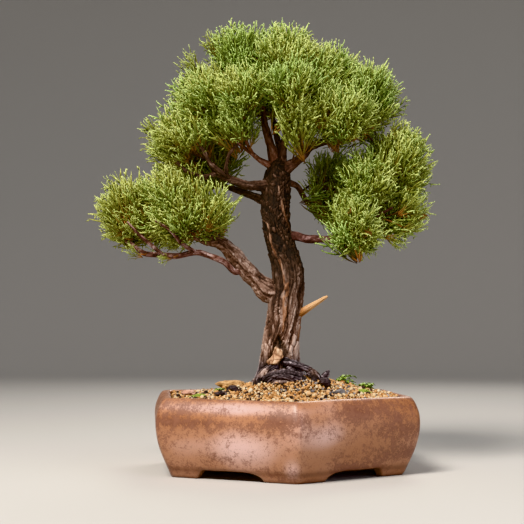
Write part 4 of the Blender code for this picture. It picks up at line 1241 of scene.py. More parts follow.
# %% Side twigs and the branch pieces
SIDE_TWIGS = {
    "branch_mid_left": [
        [(-48, -12, 285, 2.6), (-68, -20, 299, 2.1), (-78, -24, 315, 1.8), (-88, -24, 328, 1.4),
         (-90, -22, 342, 0.9)],
        [(-64, -13, 293, 2), (-74, -22, 288.5, 1.8), (-85, -26, 289, 1.6), (-96, -26, 295, 1.3),
         (-106, -24, 306, 0.9)],
        [(-50, -13, 287, 1.9), (-55, -20, 295, 1.6), (-51.5, -24, 310, 1.4), (-43, -26, 320, 0.9)],
    ],
    "branch_inner_left": [
        [(-27, -10, 311, 2), (-40, -16, 320, 1.6), (-48, -20, 326, 1.3), (-54, -22, 336, 0.9)],
        [(-28, -11, 311.5, 1.6), (-35, -18, 324, 1.3), (-34, -20, 336, 0.9)],
    ],
    "branch_upper_right": [
        [(28.3, -14, 318.7, 2.4), (30, -22, 329, 2), (36, -28, 340, 1.4)],
        [(42, -18, 323.1, 2), (56, -28, 320, 1.7), (70, -34, 324, 1.2)],
    ],
    "branch_lower_left_under": [
        [(-116.8, -22, 210.7, 2), (-130, -34, 222, 1.7), (-141, -40, 232, 1.5), (-150, -42, 242, 1)],
        [(-84.2, -25, 213, 2.2), (-96, -36, 220, 1.8), (-108, -44, 233, 1.4), (-122, -50, 242, 1)],
    ],
    "branch_right": [
        [(84.1, -20, 240.4, 2), (96, -28, 250, 1.6), (108, -34, 256, 1.1)],
    ],
}
for number, (name, stations) in enumerate(BRANCHES.items()):
    look = LOOKS[name]
    limbs = [limb(stations, 400 + 13 * number, look, share=(1.0, 0.7))]
    side_twigs = SIDE_TWIGS.get(name, [])
    twig_look = {key: value for key, value in look.items() if key != "collar"}
    for k, twig in enumerate(side_twigs):
        part = 1 / len(side_twigs)
        limbs.append(limb(
            twig, 700 + 7 * k + number, twig_look, corner=(part * k, 0.72), share=(part * 0.96, 0.28),
            step=1.2 * MM,
        ))
    add_piece(name + "_bark", make_mesh(name, limbs), juniper_bark, "bark", name)

# %% [markdown]
# The jin is a dead stub: a broken branch stripped of its bark and left to dry. Its wood is hard, tan-orange
# and split along the grain, dull but smoother than bark. It is a tube that tapers to a splintered tip, with
# long shallow splits pushed into its grid.

# %% The dead stub
JIN = [
    (6, -4, 146, 4), (20, -8, 154.5, 3.4), (28, -10, 159.5, 2.8), (36, -12, 164.5, 2.1),
    (42, -13.5, 168.3, 1.6), (45.5, -14, 170.2, 0.9),
]
along, route = smooth_stations(JIN, 0.4 * MM)
centres = route[:, :3] + AXIS
ahead, across, other = directions(centres)
turn = np.linspace(0, 2 * math.pi, 64, endpoint=False)[None]
radius = route[:, 3][:, None]
split = noise3(xyz(np.cos(turn) * 3.2, np.sin(turn) * 3.2, along[:, None] / (16 * MM)), 77)
grain = noise3(xyz(np.cos(turn) * 9, np.sin(turn) * 9, along[:, None] / (10 * MM)), 78)
cracks = 1 - step_up(np.abs(split - 0.5), 0.0, 0.06)
oval = 1 + 0.16 * np.cos(2 * (turn - 0.6)) + 0.10 * (split - 0.5)
reach = radius * oval - cracks * 0.55 * MM * step_up(radius, 1.2 * MM, 3 * MM) + (grain - 0.5) * 0.28 * MM
way = across[:, None] * np.cos(turn)[..., None] + other[:, None] * np.sin(turn)[..., None]
jin_values = {
    "ridge": (0.25 + 0.75 * grain) * (1 - 0.8 * cracks),
    "base": step_up(-along[:, None], -30 * MM, -16 * MM) + 0 * turn,
}
jin_shell = grid_shell(centres[:, None] + way * reach[..., None], jin_values)
print("the dead stub is", round(float(along[-1]) / MM, 1), "mm long")

# %% [markdown]
# Dry heartwood is orange-brown where the bark has only just gone, near the trunk, and bleaches to cream at
# the tip. The value made above says how near the trunk a point is, and one ramp fades into the other by it.

# %% Dry heartwood
dead_wood, tree, shader = start_material("dry_juniper_heartwood", {"IOR": 1.5, "Roughness": 0.62})
place = add(tree, "TexCoord").outputs["Object"]
ridge_value = add(tree, "Attribute", attribute_name="ridge").outputs["Fac"]
base_value = add(tree, "Attribute", attribute_name="base").outputs["Fac"]
weathered = add(
    tree, "ValToRGB", {"Fac": ridge_value},
    stops=[(0.05, "#5f4029"), (0.35, "#ad8258"), (0.65, "#cfa679"), (0.95, "#e9cda4")],
)
darker = add(
    tree, "ValToRGB", {"Fac": ridge_value}, stops=[(0.05, "#452817"), (0.5, "#976136"), (0.95, "#bd8a55")],
)
worn_wood = add(tree, "Mix", {0: base_value, 6: weathered.outputs[0], 7: darker.outputs[0]}, data_type="RGBA")
tree.links.new(worn_wood.outputs[2], shader.inputs["Base Color"])
pores = add(tree, "TexNoise", {"Vector": place, "Scale": 1 / (0.8 * MM), "Detail": 2.0})
tooth = add(tree, "Bump", {"Height": pores.outputs["Fac"], "Strength": 0.3, "Distance": 0.15 * MM})
tree.links.new(tooth.outputs[0], shader.inputs["Normal"])
add_piece("jin_bare_wood", make_mesh("jin_bare_wood", [jin_shell]), dead_wood, "dead_wood", "jin_dead_stub")

# %% [markdown]
# ## Stones, moss and seedlings
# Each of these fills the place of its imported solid. The stones are the same broken balls as the grit, but
# finer and with a rough skin.

# %% Stones
def stone_material(name, colours, grain_size, roughness=0.85):
    """A broken stone: its colours mixed in soft patches, with a gritty skin."""
    material, tree, shader = start_material(name, {"Roughness": roughness, "IOR": 1.54})
    place = add(tree, "TexCoord").outputs["Object"]
    patch = add(tree, "TexNoise", {"Vector": place, "Scale": 1 / grain_size, "Detail": 5.0, "Roughness": 0.7})
    stops = [(0.28 + 0.44 * i / (len(colours) - 1), colour) for i, colour in enumerate(colours)]
    tone = add(tree, "ValToRGB", {"Fac": patch.outputs["Fac"]}, stops=stops)
    tree.links.new(tone.outputs[0], shader.inputs["Base Color"])
    skin = add(tree, "Bump", {"Height": patch.outputs["Fac"], "Strength": 0.6, "Distance": 0.4 * MM})
    tree.links.new(skin.outputs[0], shader.inputs["Normal"])
    return material


STONE_FINISH = {
    "tan": stone_material("weathered_sandstone", ["#7d5a38", "#b08a5e", "#cdab7f"], 5 * MM),
    "pink": stone_material("pink_feldspar", ["#8f6a58", "#b98f7c", "#d3b09e"], 4 * MM),
    "grey": stone_material("grey_slate_chip", ["#4d4a4e", "#6d6a6c", "#8b8788"], 4 * MM, 0.7),
    "dark": stone_material("wet_lava", ["#1c1514", "#34282a", "#524248"], 3 * MM, 0.75),
}
STONES = {
    "tan_flat_stone": "tan_stone", "pink_pebble": "pink_stone", "grey_flat_stone": "grey_stone",
    "dark_stone_left": "lava_stone", "dark_stone_front": "lava_stone", "dark_stone_right": "lava_stone",
}
rng = np.random.default_rng(29)
for name, slot in STONES.items():
    low, high = (np.array(corner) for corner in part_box(name))
    form, faces = broken_stone(rng, 5, planes=11, depth=0.45 if slot == "lava_stone" else 0.32)
    form = form / np.abs(form).max(0)
    form = form * (1 + 0.30 * (noise3(form * 2.2 + 9, 5) - 0.5) + 0.12 * (noise3(form * 8, 6) - 0.5))[:, None]
    shell = {"points": (low + high) / 2 + form * (high - low) / 2 * (1, 1, 1.05), "faces": [faces]}
    finish = STONE_FINISH[name.split("_")[0]]
    add_piece(name + "_broken", make_mesh(name, [shell]), finish, slot, name)

# %% [markdown]
# Moss is a cushion of tiny leafy stems, far too fine to count. Each stem here is a pointed spindle a
# millimetre or two tall, coarser than the real ones so that it shows. The same spindle, longer and thinner,
# makes every shoot of the tree's foliage, so it is written once: points at both ends, rings of three
# between, and closed all round.

# %% Spindles
def spindles(starts, routes, radii, ease, tones):
    """Many closed pointed shoots at once: routes (n, k, 3), and radii (n, k - 2) of their inner rings.

    ease (n, k) says how far along the colour ramp each point is, and tones (n,) which column of it.
    """
    routes = starts[:, None] + routes
    count, k = routes.shape[:2]
    ahead = routes[:, -1] - routes[:, 0]
    ahead /= np.maximum(np.linalg.norm(ahead, axis=1, keepdims=True), 1e-9)
    helper = np.where(np.abs(ahead[:, 2:]) > 0.9, (1.0, 0.0, 0.0), (0.0, 0.0, 1.0))
    across = np.cross(ahead, helper)
    across /= np.linalg.norm(across, axis=1, keepdims=True)
    other = np.cross(ahead, across)
    twirl = 2 * math.pi * np.arange(3) / 3
    ring = across[:, None] * np.cos(twirl)[:, None] + other[:, None] * np.sin(twirl)[:, None]
    rings = routes[:, 1:-1, None] + ring[:, None] * radii[:, :, None, None]
    points = np.concatenate([routes[:, :1], rings.reshape(count, -1, 3), routes[:, -1:]], 1)
    each = points.shape[1]
    u = np.concatenate([ease[:, :1], np.repeat(ease[:, 1:-1], 3, axis=1), ease[:, -1:]], 1)
    sway = np.concatenate([[0], np.tile((-0.012, 0.0, 0.012), k - 2), [0.006]])
    v = tones[:, None] + sway
    faces = [(0, 1 + (j + 1) % 3, 1 + j) for j in range(3)]
    for i in range(k - 3):
        for j in range(3):
            a, b = 1 + 3 * i + j, 1 + 3 * i + (j + 1) % 3
            faces += [(a, b, b + 3), (a, b + 3, a + 3)]
    faces += [(each - 4 + j, each - 4 + (j + 1) % 3, each - 1) for j in range(3)]
    faces = np.array(faces)
    all_faces = (faces[None] + (np.arange(count) * each)[:, None, None]).reshape(-1, 3)
    places = np.stack([u, v], -1)[:, faces].reshape(-1, 3, 2)
    return {"points": points.reshape(-1, 3), "faces": [all_faces], "map": [places.clip(0, 1)]}


# %% [markdown]
# The cushion is thick in the middle and thin at its rim. Moss is dull and soft, dark at the foot of each
# stem where light hardly reaches and yellow-green at the tips, so its colour is read along the stem.

# %% Moss cushions
rng = np.random.default_rng(31)
moss_finish, tree, shader = start_material("cushion_moss", {"Roughness": 0.8, "IOR": 1.4})
split = add(tree, "SeparateXYZ", {0: add(tree, "UVMap", uv_map=COLOUR_MAP).outputs[0]})
MOSS_GREENS = [(0.0, "#2c3614"), (0.5, "#66772e"), (1.0, "#a4b55a")]
tone = add(tree, "ValToRGB", {"Fac": split.outputs["X"]}, stops=MOSS_GREENS)
shade = add(tree, "MapRange", {"Value": split.outputs["Y"], "To Min": 0.7, "To Max": 1.2})
lush = add(tree, "HueSaturation", {"Color": tone.outputs[0], "Value": shade.outputs[0]})
tree.links.new(lush.outputs[0], shader.inputs["Base Color"])
MOSS_STEMS = 900
for name in ("moss_left", "moss_right"):
    low, high = (np.array(corner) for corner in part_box(name))
    middle, half = (low + high) / 2, (high - low) / 2
    bearing = rng.uniform(0, 2 * math.pi, MOSS_STEMS)
    out = np.sqrt(rng.uniform(0, 1, MOSS_STEMS))
    flat = np.stack([np.cos(bearing) * out, np.sin(bearing) * out], 1) * half[:2] + middle[:2]
    tall = (high[2] - low[2]) * (1.15 - 0.75 * out) * rng.uniform(0.7, 1.25, MOSS_STEMS)
    starts = np.column_stack([flat, soil_height(flat[:, 0], flat[:, 1])])
    lean = rng.normal(size=(MOSS_STEMS, 3)) * (0.35, 0.35, 0)
    stems = np.array([0, 0.35, 0.7, 1.0])[None, :, None] * (lean + (0, 0, 1))[:, None] * tall[:, None, None]
    radii = np.tile([[0.42 * MM, 0.34 * MM]], (MOSS_STEMS, 1))
    ease = np.tile([[0.05, 0.4, 0.75, 1.0]], (MOSS_STEMS, 1))
    shell = spindles(starts, stems, radii, ease, rng.uniform(0.05, 0.95, MOSS_STEMS))
    add_piece(name + "_cushion", make_mesh(name, [shell]), moss_finish, "moss", name)


# %% [markdown]
# The seedlings are a sprig of broad-leaved weed and a few clovers. A leaf is a thin closed blade: a flat
# outline that bulges a little, folds along its midrib and droops at its tip, on a stalk made as a long
# spindle.

# %% Seedlings
def leaf_shell(base, heading, tilt, length, width, thick=0.22 * MM, rows=9):
    """One leaf as a closed thin blade. heading turns it round Z, tilt lifts it from level."""
    t = np.linspace(0, 1, rows)
    half = width / 2 * np.sin(math.pi * t**0.8) ** 0.8
    half[0] = half[-1] = 0.12 * MM
    s = np.linspace(-1, 1, 7)
    x = np.outer(t, np.ones(7)) * length
    y = np.outer(half, s)
    fold = np.abs(y) * 0.35
    z = x * math.tan(tilt) - (x / length) ** 2 * length * 0.45 + fold
    top = np.stack([x, y, z + thick / 2], -1)
    under = np.stack([x, y, z - thick / 2], -1)
    cos, sin = math.cos(heading), math.sin(heading)
    turn = np.array([[cos, -sin, 0], [sin, cos, 0], [0, 0, 1]])
    ring = np.concatenate([top, under[:, ::-1]], 1) @ turn.T + base
    return loft_shell(ring[:, ::-1])


# %% [markdown]
# Weed leaves are smoother than moss, with a faint wax gloss. Each sprig draws its place, height and leaves
# in turn.

# %% Seedling leaves
weed_finish, tree, shader = start_material("weed_leaf", {"Roughness": 0.45, "IOR": 1.42})
place = add(tree, "TexCoord").outputs["Object"]
veins = add(tree, "TexNoise", {"Vector": place, "Scale": 1 / (2 * MM), "Detail": 2.0})
LEAF_GREENS = [(0.3, "#55702f"), (0.5, "#7c9640"), (0.72, "#b0c46e")]
tone = add(tree, "ValToRGB", {"Fac": veins.outputs["Fac"]}, stops=LEAF_GREENS)
tree.links.new(tone.outputs[0], shader.inputs["Base Color"])
SPRIGS = {  # clover-like sprigs and broad-leaved ones in each patch, and how tall they stand
    "weed_seedling_left": (3, 5, 5.0 * MM),
    "weed_seedling_middle": (4, 15, 12.0 * MM),
    "weed_seedling_right": (6, 10, 9.5 * MM),
}
rng = np.random.default_rng(37)
for name, (clovers, broad, tall) in SPRIGS.items():
    low, high = (np.array(corner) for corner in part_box(name))
    middle, half = (low + high) / 2, (high - low) / 2
    shells = []
    for number in range(clovers + broad):
        foot = middle + rng.uniform(-0.7, 0.7, 3) * half
        foot[2] = soil_height(foot[0], foot[1])
        lean = rng.normal(size=2) * 0.28
        rise = tall * rng.uniform(0.15, 0.8)
        top = foot + np.array([lean[0] * rise, lean[1] * rise, rise])
        stalk = np.stack([foot, foot * 0.6 + top * 0.4 + (0, 0, 0.08 * rise), top + (0, 0, 0.1 * MM)])
        thick = np.full((1, 1), 0.38 * MM)
        stem = spindles(stalk[:1], (stalk - stalk[0])[None], thick, np.full((1, 3), 0.5), np.full(1, 0.5))
        shells.append({"points": stem["points"], "faces": stem["faces"]})
        first = rng.uniform(0, 2 * math.pi)
        leaves = 3 if number < clovers else 2
        for leaf in range(leaves):
            shells.append(leaf_shell(
                top, first + leaf * 2 * math.pi / leaves, rng.uniform(0.1, 0.5),
                rng.uniform(4.0, 5.6) * MM * (1.0 if number < clovers else 1.35), rng.uniform(3.4, 5.0) * MM,
            ))
    add_piece(name + "_leaves", outward_mesh(name, shells), weed_finish, "weed_leaf", name)

# %% [markdown]
# ## Foliage
# Juniper carries its green as sprays: a shoot with side shoots left and right, each covered in scale leaves
# a millimetre long, so the whole looks like knobbly green thread. A spray starts brown where it leaves the
# twig, turns yellow-green and ends in pale green tips. A few sprays are made by rule, then thousands of
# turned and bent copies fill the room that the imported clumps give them. Copies are joined to one mesh for
# each clump.

# %% Sizes of a spray
SPRAY_LENGTH = 36 * MM
SPRAY_FOOT = 31 * MM
MAIN_RADIUS = 0.82 * MM
SIDE_RADIUS = 0.78 * MM
STUB_RADIUS = 0.72 * MM


def unit(vectors):
    """The same directions, at length 1."""
    return vectors / np.maximum(np.linalg.norm(vectors, axis=-1, keepdims=True), 1e-12)


def join_shells(shells):
    """Several shells of triangles as one, with a tone for each point, ready to be copied."""
    counts = np.cumsum([0] + [len(shell["points"]) for shell in shells])
    faces = np.concatenate([shell["faces"][0] + start for shell, start in zip(shells, counts)])
    places = np.concatenate([shell["map"][0] for shell in shells])
    tone = np.concatenate([shell["tone"] for shell in shells])
    points = np.concatenate([shell["points"] for shell in shells])
    return {"points": points, "faces": faces, "u": places[:, :, 0], "sway": places[:, :, 1] + tone[faces]}


# %% [markdown]
# One spray is made by rule, as a plant makes it: a few main shoots fan out by the golden angle, each
# carries side shoots left and right in one flat plane, and each side shoot carries a stub or two. Lengths
# shrink toward the tip.

# %% One spray
def spray(rng, mains, length, spread, sides=5, stubs=2):
    """A fan of shoots standing up from the origin along +Z, with side shoots and short stubs on them."""
    groups = []
    golden = math.pi * (3 - math.sqrt(5))
    for number in range(mains):
        bearing = golden * number + rng.uniform(-0.3, 0.3)
        tilt = spread * math.sqrt((number + 0.4) / mains) * rng.uniform(0.85, 1.15)
        reach = length * rng.uniform(0.78, 1.08) * (1 - 0.12 * (number / mains))
        out = np.array([math.cos(bearing), math.sin(bearing), 0])
        t = np.array([0, 0.2, 0.42, 0.64, 0.84, 1.0])
        bow = np.sin(tilt) * (1.35 * t - 0.35 * t**2)
        path = out * (bow * reach)[:, None] + np.outer(t * np.cos(tilt) * reach, (0, 0, 1))
        path[1:-1] += rng.normal(size=(4, 3)) * 0.25 * MM
        radii = MAIN_RADIUS * np.array([0.85, 1.05, 0.9, 1.0]) * np.linspace(1.05, 0.8, 4)
        groups.append((path, radii, 0.30 + 0.50 * t, rng.uniform(-0.06, 0.06)))
        flat = unit(np.cross(rng.normal(size=3), out + (0, 0, 1)))
        for k in range(sides):
            at = 0.24 + 0.70 * (k + rng.uniform(-0.2, 0.2)) / max(sides - 1, 1)
            start = np.array([np.interp(at, t, path[:, axis]) for axis in range(3)])
            forward = unit(path[-1] - path[0])
            hand = flat * (1 if k % 2 else -1) + rng.normal(size=3) * 0.35
            size = length * 0.44 * (1.15 - 0.75 * at) * rng.uniform(0.6, 1.3)
            way = unit(forward + unit(hand) * 0.70)
            bend = unit(forward + (0, 0, 0.4)) * 0.45
            s = np.array([0, 0.34, 0.70, 1.0])[:, None]
            twig = start + (way * s + bend * s**2) * size
            ease = 0.34 + 0.46 * at + 0.26 * s[:, 0]
            groups.append((twig, SIDE_RADIUS * np.array([1.0, 0.85]), ease, rng.uniform(-0.08, 0.08)))
            for m in range(stubs):
                where = 0.35 + 0.5 * m / max(stubs - 1, 1)
                foot = start + (way * where + bend * where**2) * size
                off = unit(way + unit(rng.normal(size=3)) * 0.95)
                short = size * rng.uniform(0.28, 0.5)
                stub = foot + off * short * np.array([0, 0.5, 1.0])[:, None]
                ease = np.array([0.5, 0.8, 1.0]) * 0.4 + 0.34 + 0.36 * at
                groups.append((stub, STUB_RADIUS * np.array([1.0]), ease, rng.uniform(-0.08, 0.08)))
    shells = []
    for k in (6, 4, 3):  # points on a main shoot, a side shoot and a stub
        picked = [group for group in groups if len(group[0]) == k]
        paths, radii, ease, tone = (np.array([group[i] for group in picked]) for i in range(4))
        shells.append(spindles(paths[:, 0], paths - paths[:, :1], radii, ease, tone * 0))
        shells[-1]["tone"] = np.repeat(tone, len(shells[-1]["points"]) // len(picked))
    return join_shells(shells)


rng = np.random.default_rng(5)
SPRAYS = []
for _ in range(16):
    mains = int(rng.integers(4, 8))
    length = SPRAY_LENGTH * rng.uniform(0.85, 1.15)
    SPRAYS.append(spray(rng, mains, length, rng.uniform(0.34, 0.66)))
print("a spray has about", len(SPRAYS[0]["faces"]), "faces")


# %% [markdown]
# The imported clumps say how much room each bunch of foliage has. Their triangles are kept as arrays to scatter
# points on, and as search trees that find the nearest neighbour quickly.

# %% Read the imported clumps
CLUMPS = [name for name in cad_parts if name.startswith("foliage_")]


def node_arrays(name):
    """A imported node's points and triangles."""
    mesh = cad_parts[name].data
    mesh.calc_loop_triangles()
    points = np.array([vertex.co for vertex in mesh.vertices])
    return points, np.array([triangle.vertices for triangle in mesh.loop_triangles])


clump_arrays = {name: node_arrays(name) for name in CLUMPS}
clump_boxes = {name: [np.array(corner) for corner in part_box(name)] for name in CLUMPS}
clump_trees = {}
for name, (points, faces) in clump_arrays.items():
    clump_trees[name] = BVHTree.FromPolygons(points.tolist(), faces.tolist())
print(len(CLUMPS), "clumps of foliage")

# %% [markdown]
# Where the sprays go: points are scattered over each clump's surface, at least a centimetre apart, but not
# where it presses against its neighbour. Each point is where a spray's tips end, and its foot is a spray's
# length inside. The underside gets fewer of them, because shade kills the shoots there.

# %% Scatter points on the clumps
TIP_SPACING = 11.5 * MM
PRESSED = 2.0 * MM
NEIGHBOUR = 16 * MM


def exposed_points(name, rng, spacing, tries=2600):
    """Points on a clump's outside, with their normals, no closer than spacing."""
    points, faces = clump_arrays[name]
    a, b, c = (points[faces[:, k]] for k in range(3))
    square = np.cross(b - a, c - a)
    area = np.linalg.norm(square, axis=1)
    pick = rng.choice(len(faces), tries, p=area / area.sum())
    s, t = rng.uniform(size=(2, tries, 1))
    s, t = np.where(s + t > 1, 1 - s, s), np.where(s + t > 1, 1 - t, t)
    found = a[pick] + (b - a)[pick] * s + (c - a)[pick] * t
    normals = unit(square[pick])
    middle = (clump_boxes[name][0] + clump_boxes[name][1]) / 2
    normals *= np.where(((found - middle) * normals).sum(1, keepdims=True) < 0, -1, 1)
    near = [
        tree for other, tree in clump_trees.items()
        if other != name and (clump_boxes[other][0] < clump_boxes[name][1] + 10 * MM).all()
        and (clump_boxes[other][1] > clump_boxes[name][0] - 10 * MM).all()
    ]
    kept, kept_normals, creases = [], [], []
    for point, normal in zip(found, normals):
        if normal[2] < -0.25 and rng.uniform() < 0.75:
            continue
        if kept and np.min(np.sum((np.array(kept) - point) ** 2, axis=1)) < spacing**2:
            continue
        gaps = [tree.find_nearest(Vector(point), NEIGHBOUR)[3] for tree in near]
        gap = min((found_gap for found_gap in gaps if found_gap is not None), default=NEIGHBOUR)
        if gap < PRESSED:
            continue
        kept.append(point)
        kept_normals.append(normal)
        creases.append(1 - gap / NEIGHBOUR)
    return np.array(kept), np.array(kept_normals), np.array(creases)


# %% [markdown]
# Each copy of a spray is turned to its own axis and spun round it, then bent upward more and more toward
# its tip, as shoots turn to the light. All copies of one spray are worked out in one multiplication.

# %% Copy sprays
def copies(tips, axes, sizes, tones, lift, rng):
    """Joined copies of the sprays: each ends near its tip, stands along its axis and bends upward."""
    pick = rng.integers(0, len(SPRAYS), len(tips))
    spin = rng.uniform(0, 2 * math.pi, len(tips))
    shells = []
    for number, form in enumerate(SPRAYS):
        mine = np.flatnonzero(pick == number)
        if not len(mine):
            continue
        up = axes[mine]
        side = unit(np.cross(up, rng.normal(size=(len(mine), 3))))
        other = np.cross(up, side)
        cos, sin = np.cos(spin[mine])[:, None], np.sin(spin[mine])[:, None]
        turn = np.stack([side * cos + other * sin, other * cos - side * sin, up], -1)
        local = form["points"][None] * sizes[mine][:, None, None]
        points = np.einsum("nij,nkj->nki", turn, local)
        length = sizes[mine] * form["points"][:, 2].max()
        rise = (local[:, :, 2] / length[:, None]).clip(0, 1.2)
        points[:, :, 2] += lift[mine][:, None] * rise**2 * length[:, None]
        foot = tips[mine] - up * length[:, None] * 0.93 - np.outer(lift[mine] * length, (0, 0, 0.9))
        points += foot[:, None]
        each = points.shape[1]
        faces = (form["faces"][None] + (np.arange(len(mine)) * each)[:, None, None]).reshape(-1, 3)
        v = (tones[mine][:, None, None] + form["sway"][None]).reshape(-1, 3)
        u = np.tile(form["u"], (len(mine), 1))
        places = np.stack([u, v], -1).clip(0, 1)
        shells.append({"points": points.reshape(-1, 3), "faces": [faces], "map": [places]})
    return shells


# %% [markdown]
# Every spray hangs on wood. Inside each clump the feet of nearby sprays share a branchlet, which leaves the
# nearest branch in a gentle arc, and a thin brown twig joins each foot to its branchlet. They use the brown
# end of the same colour map, so a clump stays one piece.

# %% Twigs
wood_routes = [smooth_stations(stations, 3 * MM)[1] for stations in BRANCHES.values()]
wood_points = np.concatenate([route[4:, :3] for route in wood_routes]) + AXIS


def arcs(starts, ends, thick, thin, sag, rng, ease):
    """Thin tapering twigs from starts to ends, bowed a little, as closed spindles."""
    t = np.array([0, 0.04, 0.25, 0.5, 0.75, 0.96, 1.0])
    span = (ends - starts)[:, None] * t[None, :, None]
    length = np.linalg.norm(ends - starts, axis=1)[:, None, None]
    aside = unit(rng.normal(size=(len(starts), 1, 3)) * (1, 1, 0.5) - (0, 0, sag))
    routes = span + np.sin(math.pi * t)[None, :, None] * aside * length * 0.12
    radii = np.tile(np.linspace(thick, thin, 5), (len(starts), 1))
    brown = np.broadcast_to(np.linspace(*ease, len(t)), (len(starts), len(t)))
    return spindles(starts, routes, radii, brown, rng.uniform(0.1, 0.9, len(starts)))


def twigs(feet, rng, each=7):
    """Branchlets from the nearest wood into groups of feet, and a twig to every foot."""
    groups = max(1, round(len(feet) / each))
    hubs = feet[rng.choice(len(feet), groups, replace=False)]
    for _ in range(6):
        nearest = np.argmin(((feet[:, None] - hubs[None]) ** 2).sum(-1), axis=1)
        for k in range(groups):
            if (nearest == k).any():
                hubs[k] = feet[nearest == k].mean(0)
    source = wood_points[np.argmin(((hubs[:, None] - wood_points[None]) ** 2).sum(-1), axis=1)]
    hubs = hubs * 0.8 + source * 0.2
    branchlets = arcs(source, hubs, 1.5 * MM, 0.9 * MM, 0.6, rng, (0.02, 0.22))
    return [branchlets, arcs(hubs[nearest], feet, 0.85 * MM, 0.6 * MM, 0.3, rng, (0.15, 0.32))]


# %% [markdown]
# Scale leaves are waxy, so their gloss is weak and soft, with an IOR near 1.4. Colour runs along the shoot
# by the map's first direction: bark brown, orange-brown, yellow-green, then green with paler tips. The dark
# brown and olive start of the ramp, where sprays leave their twigs deep in the pads, is partly painted
# shade. The second direction makes one spray fresher and the next more yellow, and dries out a few of them.

# %% Juniper shoots
shoot_finish, tree, shader = start_material("juniper_scale_leaves", {"Roughness": 0.58, "IOR": 1.4})
split = add(tree, "SeparateXYZ", {0: add(tree, "UVMap", uv_map=COLOUR_MAP).outputs[0]})
fresh = add(
    tree, "ValToRGB", {"Fac": split.outputs["X"]},
    stops=[(0.0, "#2c1d17"), (0.22, "#4c3122"), (0.34, "#5d4028"), (0.46, "#4c4a26"), (0.60, "#54662e"),
           (0.80, "#7f964a"), (1.0, "#b8d086")],
)
yellow = add(
    tree, "ValToRGB", {"Fac": split.outputs["X"]},
    stops=[(0.0, "#45301f"), (0.22, "#7d4c2c"), (0.38, "#b57a40"), (0.50, "#9c7f42"), (0.64, "#848041"),
           (0.82, "#9ea052"), (1.0, "#c9d088")],
)
age = add(tree, "MapRange", {"Value": split.outputs["Y"], "From Min": 0.15, "From Max": 0.9})
mixed = add(tree, "Mix", {0: age.outputs[0], 6: fresh.outputs[0], 7: yellow.outputs[0]}, data_type="RGBA")
tree.links.new(mixed.outputs[2], shader.inputs["Base Color"])

# %% [markdown]
# A spray's axis mixes three wishes: away from the twig that feeds it, square to the clump's surface and,
# where two clumps meet, away from the middle of the tree. Slow waves push its tip in or out by some
# millimetres, so that the pads look tufted instead of clipped.

# %% Which way each spray points
TREE_MIDDLE = AXIS + (-10 * MM, 0.0, 300 * MM)


def spray_axes(name, tips, normals, creases, rng):
    """The axis of each spray of a clump, and its tip after the waves."""
    middle = (clump_boxes[name][0] + clump_boxes[name][1]) / 2
    wood = wood_points[np.argmin(((wood_points - middle) ** 2).sum(1))]
    fan = unit(tips - (middle * 0.45 + wood * 0.55) + (0, 0, 4 * MM))
    outward = unit((tips - TREE_MIDDLE) * (1, 1, 0.8))
    square = normals * (0.30 * (1 - creases))[:, None]
    clear = outward * (0.25 + 0.5 * creases)[:, None]
    axes = unit(fan * 0.75 + square + clear + (0, 0, 0.30) + rng.normal(size=tips.shape) * 0.13)
    bulge = (noise3(tips / (24 * MM), 62) - 0.5) * 15 * MM + creases * 6 * MM
    bulge = bulge + rng.normal(size=len(tips)) * 1.8 * MM
    bulge = np.where(normals[:, 2] < -0.2, -3.5 * MM, bulge)
    return axes, tips + axes * bulge[:, None]


# %% [markdown]
# A grower prunes so that the branches show. Windows are boxes in front of the leaders and under the left
# pads: a spray that ends in one, or passes through it, is left out. Small random gaps break up the rest,
# with fewer of them on top.

# %% Pruning
# Windows in mm from the pot's axis: x from, x to, z from, z to.
WINDOWS = [
    (-34, -2, 300, 366), (-6, 38, 298, 342), (-95, -30, 262, 303), (-64, -30, 296, 328), (-90, -60, 296, 320),
    (30, 60, 300, 322),
]
WINDOW_BACK = 10  # how far behind the axis a window reaches
NO_WINDOWS = ["foliage_inner_spray"] + ["foliage_lower_left_" + part for part in ("inner", "middle", "outer")]
SPARSE = {"foliage_right_outer_low": 17 * MM, "foliage_right_low": 14 * MM, "foliage_inner_spray": 30 * MM}
GAP_SIZE = 17 * MM
GAP_SHARE = 0.34


def left_out(name, tips, normals, axes):
    """True for each spray of a clump that is pruned away."""
    gone = np.zeros(len(tips), bool)
    if name not in SPARSE:
        fewer_on_top = 1 - 0.55 * step_up(normals[:, 2], 0.3, 0.9)
        gone |= noise3((tips - AXIS) / GAP_SIZE, 66) < GAP_SHARE * fewer_on_top
    if name in NO_WINDOWS:
        return gone
    for x_from, x_to, z_from, z_to in WINDOWS:
        for back in (0, 9, 18):
            x, y, z = (tips - axes * back * MM - AXIS).T / MM
            gone |= (x > x_from) & (x < x_to) & (z > z_from) & (z < z_to) & (y < WINDOW_BACK)
    return gone


# %% [markdown]
# Now every clump grows: tips, axes, pruning, then copies of the sprays with their twigs. A slow noise makes
# one patch fresher and the next more yellow, and the side pads, which get more sun, are warmer all over.

